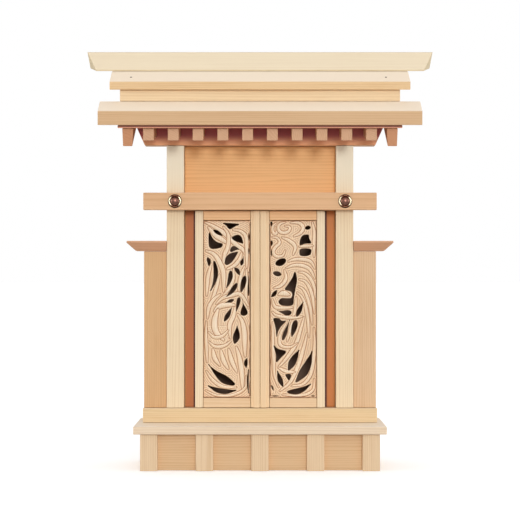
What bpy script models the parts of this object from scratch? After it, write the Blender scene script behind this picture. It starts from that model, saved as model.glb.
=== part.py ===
"""A thin household shrine of plain cypress with two carved, hinged doors.

Metres, +Z up. The flat back faces +Y and the doors face -Y. The origin is under the middle of the shrine.
Depths are measured forwards from the flat back: depth 0 is the back, larger depths are nearer the front.
"""

import math

import bmesh
import bpy
from mathutils import Vector

MM = 0.001

# Fits
GAP = 0.3 * MM
SAW_ALLOWANCE = 1.0 * MM
CHAMFER = 0.35 * MM

# Base
POST_COUNT = 5
POST_WIDTH = 15.6 * MM
POST_DEPTH = 6.7 * MM
BASE_HEIGHT = 32.8 * MM
KICKBOARD_THICKNESS = 6.0 * MM
BASE_WALL_THICKNESS = 6.0 * MM
BASE_BOARD_THICKNESS = 7.2 * MM
BASE_BOARD_END_OVERHANG = 6.0 * MM
BASE_BOARD_FRONT_OVERHANG = 2.0 * MM
VERANDA_DEPTH = 38.0 * MM

# Body
BODY_DEPTH = 54.0 * MM
PLINTH_HEIGHT = 13.2 * MM
PLINTH_END_MARGIN = 0.8 * MM
COLUMN_SPACING = 156.0 * MM
COLUMN_WIDTH = 16.0 * MM
COLUMN_DEPTH = 16.0 * MM
COLUMN_SETBACK = 1.0 * MM
FRONT_WALL_SETBACK = 12.0 * MM
FRONT_WALL_THICKNESS = 5.0 * MM
UPPER_PANEL_HEIGHT = 43.7 * MM
SIDE_WALL_THICKNESS = 6.0 * MM
SIDE_WALL_INSET = 0.4 * MM
BACK_PANEL_THICKNESS = 5.3 * MM

# Tie beam and its studs
TIE_BEAM_HEIGHT = 15.8 * MM
TIE_BEAM_THICKNESS = 8.5 * MM
TIE_BEAM_END_OVERHANG = 21.0 * MM
STUD_RADIUS = 6.3 * MM
STUD_RIM_WIDTH = 1.3 * MM
STUD_RIM_THICKNESS = 0.8 * MM
STUD_DOME_HEIGHT = 2.6 * MM

# Doors
DOOR_HEIGHT = 181.4 * MM
DOOR_THICKNESS = 9.1 * MM
DOOR_END_CLEARANCE = 0.5 * MM
DOOR_REVEAL = 10.2 * MM
DOOR_LAP = 5.8 * MM
HINGE_STILE_WIDTH = 7.3 * MM
MEETING_STILE_WIDTH = 8.4 * MM
TOP_RAIL_HEIGHT = 8.6 * MM
BOTTOM_RAIL_HEIGHT = 8.8 * MM
MEETING_STRIP_HALF_WIDTH = 5.7 * MM
MEETING_STRIP_RISE = 1.5 * MM
PIVOT_RADIUS = 1.6 * MM
PIVOT_LENGTH = 4.5 * MM
PIVOT_CLEARANCE = 0.4 * MM
PIVOT_EDGE_INSET = 3.4 * MM
PIVOT_BACK_INSET = 2.8 * MM

# Carved panels
PANEL_THICKNESS = 5.0 * MM
PANEL_FACE_SETBACK = 2.8 * MM
RELIEF_FLATNESS = 0.62
RELIEF_TIP = 0.35
CARVING_BORDER = 0.8 * MM

# Side wings
WING_HEIGHT = 144.3 * MM
WING_WIDTH = 20.8 * MM
WING_THICKNESS = 7.0 * MM
WING_SETBACK = 3.0 * MM
WING_CAP_HEIGHT = 9.2 * MM
WING_CAP_RIM = 1.6 * MM
WING_CAP_BEVEL = 8.0 * MM
WING_CAP_END_OVERHANG = 7.4 * MM
WING_CAP_FRONT_OVERHANG = 1.0 * MM

# Eaves
BEAM_HEIGHT = 16.3 * MM
BEAM_BACK_STEP = 1.0 * MM
BEAM_END_OVERHANG = 27.6 * MM
BEAM_END_SLANT = 7.4 * MM
PLATE_THICKNESS = 5.0 * MM
EAVE_LIFT = 11.9 * MM
RAFTER_COUNT = 10
RAFTER_WIDTH = 9.7 * MM
RAFTER_HEIGHT = 11.2 * MM
RAFTER_END_SPACE = 8.8 * MM
RAFTER_FRONT_SETBACK = 4.0 * MM
GABLE_OVERHANG = 37.6 * MM
BARGEBOARD_WIDTH = 9.8 * MM
BARGEBOARD_HEIGHT = 16.2 * MM
BARGEBOARD_TAPER = 0.8 * MM
BARGEBOARD_PITCH = math.radians(26.5)
BARGEBOARD_FRONT_SETBACK = 3.0 * MM
SHEATHING_THICKNESS = 2.5 * MM
SHEATHING_END_OVERHANG = 4.0 * MM
SHEATHING_FRONT_SETBACK = 0.8 * MM

# Roof of stacked boards that rise to an upright back. Edge heights are those of the front edges.
ROOF_PITCH = math.radians(11)
EAVE_PITCH = math.radians(28.5)
UPPER_ROOF_PITCH = math.radians(26.5)
RIDGE_PITCH = math.radians(31)
RIDGE_DEPTH = 20.0 * MM
EAVE_OVERHANG = 43.0 * MM
EAVE_END_OVERHANG = 17.8 * MM
EAVE_EDGE_HEIGHT = 12.7 * MM
RISER_HEIGHT = 10.3 * MM
RISER_END_INSET = 18.3 * MM
RISER_FRONT_SETBACK = 19.6 * MM
UPPER_ROOF_END_OVERHANG = 9.1 * MM
UPPER_ROOF_FRONT_OVERHANG = 3.5 * MM
UPPER_ROOF_EDGE_HEIGHT = 7.4 * MM
RIDGE_END_OVERHANG = 26.3 * MM
RIDGE_END_FLARE = 7.4 * MM
RIDGE_END_LEAN = 4.2 * MM
RIDGE_FRONT_SETBACK = 24.8 * MM
RIDGE_EDGE_HEIGHT = 1.2 * MM

# Depths that follow from the sizes above
COLUMN_FRONT = BODY_DEPTH - COLUMN_SETBACK
COLUMN_BACK = COLUMN_FRONT - COLUMN_DEPTH
FRONT_WALL_FRONT = COLUMN_FRONT - FRONT_WALL_SETBACK
FRONT_WALL_BACK = FRONT_WALL_FRONT - FRONT_WALL_THICKNESS
DOOR_BACK = COLUMN_FRONT - DOOR_THICKNESS
TIE_BEAM_BACK = COLUMN_FRONT + GAP
TIE_BEAM_FRONT = TIE_BEAM_BACK + TIE_BEAM_THICKNESS
BASE_BOARD_FRONT = BODY_DEPTH + VERANDA_DEPTH
POST_FRONT = BASE_BOARD_FRONT - BASE_BOARD_FRONT_OVERHANG
KICKBOARD_FRONT = POST_FRONT - POST_DEPTH - GAP
EAVE_FRONT = COLUMN_FRONT + EAVE_OVERHANG
SHEATHING_FRONT = EAVE_FRONT - SHEATHING_FRONT_SETBACK
RISER_FRONT = EAVE_FRONT - RISER_FRONT_SETBACK
UPPER_ROOF_FRONT = RISER_FRONT + UPPER_ROOF_FRONT_OVERHANG
RIDGE_FRONT = UPPER_ROOF_FRONT - RIDGE_FRONT_SETBACK
BACK_Y = max(EAVE_FRONT, BASE_BOARD_FRONT) / 2

# Heights that follow from the sizes above
BASE_BOARD_BOTTOM = BASE_HEIGHT + GAP
PLINTH_BOTTOM = BASE_BOARD_BOTTOM + BASE_BOARD_THICKNESS + GAP
FLOOR_Z = PLINTH_BOTTOM + PLINTH_HEIGHT
WALL_BOTTOM = FLOOR_Z + GAP
DOOR_BOTTOM = FLOOR_Z + DOOR_END_CLEARANCE
DOOR_TOP = DOOR_BOTTOM + DOOR_HEIGHT
LINTEL_BOTTOM = DOOR_TOP + DOOR_END_CLEARANCE
LINTEL_TOP = LINTEL_BOTTOM + TIE_BEAM_HEIGHT
COLUMN_TOP = LINTEL_TOP + UPPER_PANEL_HEIGHT
BEAM_BOTTOM = COLUMN_TOP + GAP
BEAM_TOP = BEAM_BOTTOM + BEAM_HEIGHT
SLOPE = math.tan(ROOF_PITCH)
SLOPE_GAP = GAP / math.cos(ROOF_PITCH)
SHEATHING_BOTTOM = BEAM_BOTTOM + EAVE_LIFT
SHEATHING_TOP = SHEATHING_BOTTOM + SHEATHING_THICKNESS
EAVE_BOTTOM = SHEATHING_TOP - SLOPE * (EAVE_FRONT - SHEATHING_FRONT) + SLOPE_GAP
EAVE_TOP = EAVE_BOTTOM + EAVE_EDGE_HEIGHT + math.tan(EAVE_PITCH) * RISER_FRONT_SETBACK
RISER_BOTTOM = EAVE_TOP + GAP
RISER_TOP = RISER_BOTTOM + RISER_HEIGHT
UPPER_ROOF_BOTTOM = RISER_TOP - SLOPE * UPPER_ROOF_FRONT_OVERHANG + SLOPE_GAP
UPPER_ROOF_TOP = UPPER_ROOF_BOTTOM + UPPER_ROOF_EDGE_HEIGHT + math.tan(UPPER_ROOF_PITCH) * RIDGE_FRONT_SETBACK
RIDGE_BOTTOM = UPPER_ROOF_TOP + SLOPE_GAP
RIDGE_TOP = RIDGE_BOTTOM + RIDGE_EDGE_HEIGHT + math.tan(RIDGE_PITCH) * (RIDGE_FRONT - RIDGE_DEPTH)

# Half widths that follow from the sizes above
COLUMN_INNER = (COLUMN_SPACING - COLUMN_WIDTH) / 2
COLUMN_OUTER = COLUMN_INNER + COLUMN_WIDTH
DOOR_OUTER = COLUMN_INNER - DOOR_REVEAL
DOOR_INNER = GAP / 2
WING_INNER = COLUMN_OUTER + GAP
WING_OUTER = WING_INNER + WING_WIDTH
PLINTH_HALF = WING_OUTER + PLINTH_END_MARGIN
BASE_BOARD_HALF = PLINTH_HALF + BASE_BOARD_END_OVERHANG
TIE_BEAM_HALF = COLUMN_OUTER + TIE_BEAM_END_OVERHANG
BEAM_HALF = COLUMN_OUTER + BEAM_END_OVERHANG
BARGEBOARD_OUTER = COLUMN_OUTER + GABLE_OVERHANG
BARGEBOARD_INNER = BARGEBOARD_OUTER - BARGEBOARD_WIDTH
RAFTERS_HALF = BARGEBOARD_INNER - RAFTER_END_SPACE
SHEATHING_HALF = BARGEBOARD_OUTER + SHEATHING_END_OVERHANG
EAVE_HALF = SHEATHING_HALF + EAVE_END_OVERHANG
RISER_HALF = EAVE_HALF - RISER_END_INSET
UPPER_ROOF_HALF = RISER_HALF + UPPER_ROOF_END_OVERHANG
RIDGE_HALF = UPPER_ROOF_HALF + RIDGE_END_OVERHANG

# Hinge axis of each leaf
HINGE_X = DOOR_OUTER - PIVOT_EDGE_INSET
HINGE_DEPTH = DOOR_BACK + PIVOT_BACK_INSET

# Colours of the wood and the metal, linear
PALE_WOOD = (0.80, 0.67, 0.46)
TAN_WOOD = (0.70, 0.49, 0.27)
WARM_WOOD = (0.74, 0.52, 0.29)
BRASS = (0.62, 0.42, 0.18)

# Outlines of the carving
OUTLINE_POINTS = 10
STROKE_STEPS = 2


def y_at(depth):
    """World Y of a depth measured forwards from the back."""
    return BACK_Y - depth


def clear_scene():
    for old in list(bpy.data.objects):
        bpy.data.objects.remove(old, do_unlink=True)


def make_collection(name):
    collection = bpy.data.collections.new(name)
    bpy.context.scene.collection.children.link(collection)
    return collection


def make_material(name, colour, roughness, metallic):
    material = bpy.data.materials.new(name)
    material.use_nodes = True
    shader = material.node_tree.nodes["Principled BSDF"]
    shader.inputs["Base Color"].default_value = (*colour, 1.0)
    shader.inputs["Roughness"].default_value = roughness
    shader.inputs["Metallic"].default_value = metallic
    return material


def add_part(name, mesh, colour, roughness=0.6, metallic=0.0):
    """Link a mesh as a named part with its own material."""
    part = bpy.data.objects.new(name, mesh)
    part.data.materials.append(make_material(name, colour, roughness, metallic))
    PARTS.objects.link(part)
    return part


def add_cutter(name, mesh):
    cutter = bpy.data.objects.new(name, mesh)
    CUTTERS.objects.link(cutter)
    cutter.hide_render = True
    cutter.display_type = "WIRE"
    return cutter


def board(name, x, depth, z, colour):
    """A sawn board that fills the given ranges of X, depth and Z."""
    size = Vector((x[1] - x[0], depth[1] - depth[0], z[1] - z[0]))
    bm = bmesh.new()
    bmesh.ops.create_cube(bm, size=1.0)
    bmesh.ops.scale(bm, vec=size, verts=bm.verts)
    mesh = bpy.data.meshes.new(name)
    bm.to_mesh(mesh)
    bm.free()
    part = add_part(name, mesh, colour)
    part.location = (sum(x) / 2, y_at(sum(depth) / 2), sum(z) / 2)
    return part


def saw(part, point, normal):
    """Saw a part along a plane in world space and drop the side that the normal points to."""
    bm = bmesh.new()
    bm.from_mesh(part.data)
    geometry = bm.verts[:] + bm.edges[:] + bm.faces[:]
    local_point = Vector(point) - part.location
    cut = bmesh.ops.bisect_plane(
        bm, geom=geometry, plane_co=local_point, plane_no=Vector(normal), clear_outer=True)
    edges = [item for item in cut["geom_cut"] if isinstance(item, bmesh.types.BMEdge)]
    bmesh.ops.edgeloop_fill(bm, edges=edges)
    bmesh.ops.recalc_face_normals(bm, faces=bm.faces)
    bm.to_mesh(part.data)
    bm.free()


def ease_edges(part):
    """Plane a narrow chamfer along every sharp edge."""
    bevel = part.modifiers.new("eased edges", "BEVEL")
    bevel.width = CHAMFER
    bevel.segments = 1
    bevel.limit_method = "ANGLE"
    bevel.angle_limit = math.radians(30)


def boolean(part, other, operation, self_crossing=False):
    modifier = part.modifiers.new(other.name, "BOOLEAN")
    modifier.operation = operation
    modifier.solver = "EXACT"
    modifier.use_self = self_crossing
    modifier.object = other


def rod(name, radius, x, depth, z):
    """An upright cylinder through a range of Z, to be joined to a part or cut out of it."""
    sides = 20
    bm = bmesh.new()
    bmesh.ops.create_cone(
        bm, cap_ends=True, segments=sides, radius1=radius, radius2=radius, depth=z[1] - z[0])
    mesh = bpy.data.meshes.new(name)
    bm.to_mesh(mesh)
    bm.free()
    cutter = add_cutter(name, mesh)
    cutter.location = (x, y_at(depth), sum(z) / 2)
    return cutter


def mirrored(side, inner, outer):
    """The X range between two distances from the middle, on the left (-1) or the right (+1)."""
    return tuple(sorted((side * inner, side * outer)))


def side_name(side):
    return "left" if side < 0 else "right"


def eased_board(name, x, depth, z, colour):
    part = board(name, x, depth, z, colour)
    ease_edges(part)
    return part


def build_base():
    """Board on five posts, with a kickboard, two sides and a back."""
    legs = (0.0, BASE_HEIGHT)
    outer_post = PLINTH_HALF - POST_WIDTH / 2
    for number in range(POST_COUNT):
        middle = outer_post * (2 * number / (POST_COUNT - 1) - 1)
        span = (middle - POST_WIDTH / 2, middle + POST_WIDTH / 2)
        eased_board(f"post_{number + 1}", span, (POST_FRONT - POST_DEPTH, POST_FRONT), legs, PALE_WOOD)

    full = (-PLINTH_HALF, PLINTH_HALF)
    kickboard_back = KICKBOARD_FRONT - KICKBOARD_THICKNESS
    eased_board("kickboard", full, (kickboard_back, KICKBOARD_FRONT), legs, TAN_WOOD)
    eased_board("base_back", full, (0.0, BASE_WALL_THICKNESS), legs, TAN_WOOD)
    for side in (-1, 1):
        span = mirrored(side, PLINTH_HALF - BASE_WALL_THICKNESS, PLINTH_HALF)
        length = (BASE_WALL_THICKNESS + GAP, kickboard_back - GAP)
        eased_board(f"base_side_{side_name(side)}", span, length, legs, TAN_WOOD)

    eased_board(
        "base_board", (-BASE_BOARD_HALF, BASE_BOARD_HALF), (0.0, BASE_BOARD_FRONT),
        (BASE_BOARD_BOTTOM, BASE_BOARD_BOTTOM + BASE_BOARD_THICKNESS), PALE_WOOD)


def build_plinth():
    """The cabinet's floor, with a hole for each lower door pivot."""
    plinth = eased_board(
        "plinth", (-PLINTH_HALF, PLINTH_HALF), (0.0, BODY_DEPTH), (PLINTH_BOTTOM, FLOOR_Z), WARM_WOOD)
    for side in (-1, 1):
        hole = (FLOOR_Z - pivot_hole_depth(), FLOOR_Z + pivot_hole_depth())
        cutter = rod(
            f"plinth_pivot_hole_{side_name(side)}", PIVOT_RADIUS + PIVOT_CLEARANCE,
            side * HINGE_X, HINGE_DEPTH, hole)
        boolean(plinth, cutter, "DIFFERENCE")


def pivot_hole_depth():
    return PIVOT_LENGTH + PIVOT_CLEARANCE - DOOR_END_CLEARANCE


def roof_underside(depth):
    """Height of the sheathing's lower face above a depth."""
    return SHEATHING_BOTTOM + SLOPE * (SHEATHING_FRONT - depth)


def saw_slope(part, depth, height):
    """Saw off what stands above a plane with the roof's pitch that passes through a depth and height."""
    saw(part, (0.0, y_at(depth), height), (0.0, -SLOPE, 1.0))


def saw_under_roof(part):
    saw_slope(part, SHEATHING_FRONT, SHEATHING_BOTTOM - SLOPE_GAP)


def build_body():
    """Columns, recessed front wall, back, and side walls, with tops that follow the roof."""
    walls = (WALL_BOTTOM, roof_underside(0.0))
    for side in (-1, 1):
        label = side_name(side)
        eased_board(
            f"column_{label}", mirrored(side, COLUMN_INNER, COLUMN_OUTER),
            (COLUMN_BACK, COLUMN_FRONT), (WALL_BOTTOM, COLUMN_TOP), PALE_WOOD)
        wall_outer = COLUMN_OUTER - SIDE_WALL_INSET
        wall = board(
            f"side_wall_{label}", mirrored(side, wall_outer - SIDE_WALL_THICKNESS, wall_outer),
            (BACK_PANEL_THICKNESS + GAP, COLUMN_BACK - GAP), walls, PALE_WOOD)
        saw_under_roof(wall)
        ease_edges(wall)
        eased_board(
            f"jamb_{label}", mirrored(side, DOOR_OUTER - DOOR_LAP, COLUMN_INNER - GAP),
            (FRONT_WALL_BACK, FRONT_WALL_FRONT), (WALL_BOTTOM, LINTEL_BOTTOM - GAP), WARM_WOOD)

    between = (-COLUMN_INNER + GAP, COLUMN_INNER - GAP)
    eased_board(
        "upper_panel", between, (FRONT_WALL_BACK, FRONT_WALL_FRONT), (LINTEL_BOTTOM, COLUMN_TOP), WARM_WOOD)
    back_half = COLUMN_OUTER - SIDE_WALL_INSET
    back = board("back_panel", (-back_half, back_half), (0.0, BACK_PANEL_THICKNESS), walls, PALE_WOOD)
    saw_under_roof(back)
    ease_edges(back)

    lintel = eased_board(
        "lintel", between, (FRONT_WALL_FRONT + GAP, COLUMN_FRONT), (LINTEL_BOTTOM, LINTEL_TOP), TAN_WOOD)
    for side in (-1, 1):
        hole = (LINTEL_BOTTOM - pivot_hole_depth(), LINTEL_BOTTOM + pivot_hole_depth())
        cutter = rod(
            f"lintel_pivot_hole_{side_name(side)}", PIVOT_RADIUS + PIVOT_CLEARANCE,
            side * HINGE_X, HINGE_DEPTH, hole)
        boolean(lintel, cutter, "DIFFERENCE")


def build_tie_beam():
    """The beam across the columns, with a domed stud on each column's line."""
    eased_board(
        "tie_beam", (-TIE_BEAM_HALF, TIE_BEAM_HALF), (TIE_BEAM_BACK, TIE_BEAM_FRONT),
        (LINTEL_BOTTOM, LINTEL_TOP), TAN_WOOD)
    for side in (-1, 1):
        build_stud(side)


def build_stud(side):
    """A turned brass stud: a flat rim round a low dome."""
    steps = 5
    dome_radius = STUD_RADIUS - STUD_RIM_WIDTH
    dome_rise = STUD_DOME_HEIGHT - STUD_RIM_THICKNESS
    profile = [(0.0, 0.0), (STUD_RADIUS, 0.0), (STUD_RADIUS, STUD_RIM_THICKNESS)]
    for step in range(steps):
        angle = math.pi / 2 * step / steps
        profile.append((dome_radius * math.cos(angle), STUD_RIM_THICKNESS + dome_rise * math.sin(angle)))
    profile.append((0.0, STUD_DOME_HEIGHT))

    bm = bmesh.new()
    corners = [bm.verts.new((radius, 0.0, height)) for radius, height in reversed(profile)]
    for first, second in zip(corners, corners[1:]):
        bm.edges.new((first, second))
    mesh = bpy.data.meshes.new(f"stud_{side_name(side)}")
    bm.to_mesh(mesh)
    bm.free()

    stud = add_part(f"stud_{side_name(side)}", mesh, BRASS, roughness=0.2, metallic=1.0)
    stud.location = (side * COLUMN_SPACING / 2, y_at(TIE_BEAM_FRONT + GAP), (LINTEL_BOTTOM + LINTEL_TOP) / 2)
    stud.rotation_euler = (math.radians(90), 0.0, 0.0)
    screw = stud.modifiers.new("turned", "SCREW")
    screw.axis = "Z"
    screw.steps = 24
    screw.render_steps = 24
    screw.use_merge_vertices = True
    screw.merge_threshold = 0.00001


def build_wing(side):
    """A side wing beside its column, with a cap bevelled under its end and its front."""
    label = side_name(side)
    front = COLUMN_FRONT - WING_SETBACK
    top = WALL_BOTTOM + WING_HEIGHT
    eased_board(
        f"wing_{label}", mirrored(side, WING_INNER, WING_OUTER), (front - WING_THICKNESS, front),
        (WALL_BOTTOM, top), TAN_WOOD)

    cap_foot = top + GAP
    cap_end = WING_OUTER + WING_CAP_END_OVERHANG
    cap_front = front + WING_CAP_FRONT_OVERHANG
    cap_back = front - WING_THICKNESS - WING_CAP_END_OVERHANG
    cap = board(
        f"wing_cap_{label}", mirrored(side, WING_INNER, cap_end + WING_CAP_BEVEL),
        (cap_back, cap_front + WING_CAP_BEVEL), (cap_foot, cap_foot + WING_CAP_HEIGHT), WARM_WOOD)
    bevel_height = WING_CAP_HEIGHT - WING_CAP_RIM
    saw(cap, (side * cap_end, y_at(cap_front), cap_foot), (side * bevel_height, 0.0, -WING_CAP_BEVEL))
    saw(cap, (side * cap_end, y_at(cap_front), cap_foot), (0.0, -bevel_height, -WING_CAP_BEVEL))
    ease_edges(cap)


def sloping_board(name, x, depth, bottom, edge_height, colour, pitch=ROOF_PITCH, taper=0.0):
    """A board that rises backwards and is cut off upright at both ends.

    The bottom and the edge height are those at the front end, and each side leans in by the taper below.
    The lower face keeps the roof's pitch. The upper face may be steeper.
    """
    back, front = depth
    bm = bmesh.new()
    bmesh.ops.create_cube(bm, size=1.0)
    bmesh.ops.translate(bm, vec=(0.0, 0.5, 0.5), verts=bm.verts)
    bmesh.ops.scale(bm, vec=(x[1] - x[0], front - back, edge_height), verts=bm.verts)
    for vertex in bm.verts:
        if vertex.co.z > 0:
            vertex.co.z += vertex.co.y * math.tan(pitch)
        else:
            vertex.co.x -= math.copysign(taper, vertex.co.x)
            vertex.co.z = vertex.co.y * SLOPE
    mesh = bpy.data.meshes.new(name)
    bm.to_mesh(mesh)
    bm.free()
    part = add_part(name, mesh, colour)
    part.location = (sum(x) / 2, y_at(front), bottom)
    return part


def build_eaves():
    """Boat-shaped beam and plate, rafters over them, bargeboards and sheathing."""
    beam = board(
        "eave_beam", (-BEAM_HALF, BEAM_HALF), (COLUMN_BACK + BEAM_BACK_STEP, COLUMN_FRONT),
        (BEAM_BOTTOM, BEAM_TOP), WARM_WOOD)
    for side in (-1, 1):
        upper_corner = (side * BEAM_HALF, y_at(COLUMN_FRONT), BEAM_TOP)
        saw(beam, upper_corner, (side * BEAM_HEIGHT, 0.0, -BEAM_END_SLANT))
    ease_edges(beam)

    rafter_front = EAVE_FRONT - RAFTER_FRONT_SETBACK
    rafter_bottom = roof_underside(rafter_front) - SLOPE_GAP - RAFTER_HEIGHT
    outer_rafter = RAFTERS_HALF - RAFTER_WIDTH / 2
    for number in range(RAFTER_COUNT):
        middle = outer_rafter * (2 * number / (RAFTER_COUNT - 1) - 1)
        span = (middle - RAFTER_WIDTH / 2, middle + RAFTER_WIDTH / 2)
        rafter = sloping_board(
            f"rafter_{number + 1:02d}", span, (COLUMN_FRONT + GAP, rafter_front), rafter_bottom,
            RAFTER_HEIGHT, PALE_WOOD)
        ease_edges(rafter)

    plate = board(
        "rafter_plate", (-RAFTERS_HALF, RAFTERS_HALF), (COLUMN_FRONT - PLATE_THICKNESS, COLUMN_FRONT),
        (BEAM_TOP + GAP, roof_underside(0.0)), TAN_WOOD)
    saw_under_roof(plate)
    ease_edges(plate)

    for side in (-1, 1):
        build_bargeboard(side)
    sheathing = sloping_board(
        "sheathing", (-SHEATHING_HALF, SHEATHING_HALF), (0.0, SHEATHING_FRONT), SHEATHING_BOTTOM,
        SHEATHING_THICKNESS, TAN_WOOD)
    ease_edges(sheathing)


def build_bargeboard(side):
    """A deep board outside the rafters. It narrows downwards, and its lower edge is cut up towards the back."""
    front = EAVE_FRONT - BARGEBOARD_FRONT_SETBACK
    bottom = roof_underside(front) - SLOPE_GAP - BARGEBOARD_HEIGHT
    bargeboard = sloping_board(
        f"bargeboard_{side_name(side)}", mirrored(side, BARGEBOARD_INNER, BARGEBOARD_OUTER),
        (COLUMN_FRONT + GAP, front), bottom - SAW_ALLOWANCE, BARGEBOARD_HEIGHT + SAW_ALLOWANCE, WARM_WOOD,
        taper=BARGEBOARD_TAPER)
    saw(bargeboard, (0.0, y_at(front), bottom), (0.0, math.tan(BARGEBOARD_PITCH), -1.0))
    ease_edges(bargeboard)


def build_roof():
    """Four layers: the eave board, a riser, the upper board and a ridge cap whose ends flare and lean out."""
    eave = sloping_board(
        "eave_board", (-EAVE_HALF, EAVE_HALF), (0.0, EAVE_FRONT), EAVE_BOTTOM, EAVE_EDGE_HEIGHT, TAN_WOOD,
        EAVE_PITCH)
    saw(eave, (0.0, 0.0, EAVE_TOP), (0.0, 0.0, 1.0))
    ease_edges(eave)

    riser = board(
        "roof_riser", (-RISER_HALF, RISER_HALF), (0.0, RISER_FRONT),
        (RISER_BOTTOM, RISER_TOP + SLOPE * RISER_FRONT + SAW_ALLOWANCE), TAN_WOOD)
    saw_slope(riser, RISER_FRONT, RISER_TOP)
    ease_edges(riser)

    upper = sloping_board(
        "upper_roof_board", (-UPPER_ROOF_HALF, UPPER_ROOF_HALF), (0.0, UPPER_ROOF_FRONT), UPPER_ROOF_BOTTOM,
        UPPER_ROOF_EDGE_HEIGHT, PALE_WOOD, UPPER_ROOF_PITCH)
    saw_slope(upper, RIDGE_FRONT, UPPER_ROOF_TOP)
    ease_edges(upper)

    ridge = sloping_board(
        "ridge_cap", (-RIDGE_HALF, RIDGE_HALF), (0.0, RIDGE_FRONT), RIDGE_BOTTOM, RIDGE_EDGE_HEIGHT,
        PALE_WOOD, RIDGE_PITCH)
    saw(ridge, (0.0, 0.0, RIDGE_TOP), (0.0, 0.0, 1.0))
    lean = RIDGE_END_LEAN / (RIDGE_TOP - RIDGE_BOTTOM)
    for side in (-1, 1):
        for flare in (0.0, RIDGE_END_FLARE / (RIDGE_FRONT - RIDGE_DEPTH)):
            saw(ridge, (side * RIDGE_HALF, y_at(RIDGE_DEPTH), RIDGE_TOP), (side, -flare, -lean))
    ease_edges(ridge)


def between_stiles(side):
    """X range between the two stiles of one leaf."""
    return mirrored(side, DOOR_INNER + MEETING_STILE_WIDTH + GAP, DOOR_OUTER - HINGE_STILE_WIDTH - GAP)


def panel_area(side):
    """X and Z ranges of the carved panel of one leaf."""
    z = (DOOR_BOTTOM + BOTTOM_RAIL_HEIGHT + GAP, DOOR_TOP - TOP_RAIL_HEIGHT - GAP)
    return between_stiles(side), z


def leaf(start, end, width, bow=0.0, fullest=0.5, blunt=0.8):
    """Closed outline of a leaf-shaped opening, bowed to the left of its way from start to end."""
    start = Vector(start)
    axis = Vector(end) - start
    normal = Vector((-axis.y, axis.x)).normalized()
    skew = math.log(0.5) / math.log(fullest)
    half = OUTLINE_POINTS // 2
    edges = {1: [], -1: []}
    for step in range(half + 1):
        share = (1 - math.cos(math.pi * step / half)) / 2
        middle = start + axis * share + normal * (4 * bow * share * (1 - share))
        spread = width / 2 * max(math.sin(math.pi * share ** skew), 0.0) ** blunt
        for hand in edges:
            edges[hand].append(middle + normal * (hand * spread))
    return edges[1] + edges[-1][-2:0:-1]


def soft_corners(corners):
    """Closed outline through cut corners, for an opening with three or more corners."""
    corners = [Vector(corner) for corner in corners]
    outline = []
    for corner, following in zip(corners, corners[1:] + corners[:1]):
        outline.append(corner.lerp(following, 0.2))
        outline.append(corner.lerp(following, 0.8))
    return outline


def smooth_route(points):
    """Points along a smooth curve through the given points, with the share of its length at each."""
    points = [Vector(point) for point in points]
    padded = [2 * points[0] - points[1]] + points + [2 * points[-1] - points[-2]]
    route = []
    for index in range(1, len(points)):
        before, start, end, after = padded[index - 1:index + 3]
        for step in range(STROKE_STEPS):
            t = step / STROKE_STEPS
            route.append(
                (2 * start + (end - before) * t
                 + (2 * before - 5 * start + 4 * end - after) * t ** 2
                 + (3 * start - before - 3 * end + after) * t ** 3) / 2)
    route.append(points[-1])
    return route


# The carving as drawn, in millimetres from the lower left. It is stretched to fill a panel.
# Left panel: a bird at mid height looks right, its tail streams up and its wings hang down
LEFT_OPENINGS = [
    soft_corners([(17.6, 161.8), (34.0, 160.6), (29.5, 158.3), (24.4, 155.4), (20.8, 159.4)]),
    leaf((9.1, 155.2), (17.9, 149.8), 3.4, fullest=0.45),
    soft_corners([(5.0, 154.2), (8.6, 147.2), (12.8, 143.6), (18.3, 142.4), (16.6, 138.6), (7.8, 137.2),
                  (4.8, 140.2)]),
    leaf((26.2, 148.0), (36.8, 142.6), 6.6, bow=2.0, fullest=0.45),
    leaf((24.8, 135.4), (33.2, 137.0), 4.6, bow=1.9, fullest=0.35),
    leaf((20.6, 123.0), (32.0, 134.6), 7.2, bow=1.2, fullest=0.4),
    leaf((37.4, 130.6), (35.0, 122.2), 3.2, fullest=0.7),
    leaf((3.8, 129.6), (5.0, 121.4), 3.6, bow=0.8, fullest=0.4),
    leaf((9.8, 126.4), (6.4, 98.4), 4.2, bow=3.2, fullest=0.35),
    leaf((28.8, 120.2), (33.6, 113.2), 3.8, bow=0.7),
    leaf((25.4, 117.4), (21.2, 101.2), 4.2, bow=1.2, fullest=0.32),
    leaf((38.8, 112.6), (35.0, 97.4), 4.8, fullest=0.42, blunt=0.6),
    leaf((42.0, 116.5), (41.9, 94.0), 1.6, fullest=0.75, blunt=0.6),
    leaf((31.2, 105.8), (21.2, 93.2), 4.2, bow=0.9, fullest=0.36),
    leaf((18.6, 87.0), (28.2, 90.4), 3.2, fullest=0.75),
    leaf((33.4, 92.6), (30.6, 79.6), 3.5, fullest=0.27),
    leaf((36.2, 91.4), (37.8, 75.6), 7.4, bow=0.4, fullest=0.82),
    leaf((26.2, 83.0), (19.2, 70.4), 4.2, bow=0.3, fullest=0.6, blunt=0.7),
    leaf((31.3, 66.4), (28.9, 49.6), 6.4, bow=0.8, fullest=0.62),
    leaf((40.5, 36.2), (39.8, 27.2), 3.4, bow=-0.8),
    leaf((4.6, 30.8), (29.2, 11.6), 7.8, bow=-2.4, fullest=0.68),
    leaf((4.2, 10.9), (30.6, 6.6), 5.0, bow=-3.2),
    leaf((42.1, 26.0), (42.0, 3.4), 1.7, bow=-0.8),
    leaf((42.2, 152.4), (42.4, 145.0), 1.2),
    leaf((42.2, 138.6), (42.4, 132.4), 1.2),
]

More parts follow.
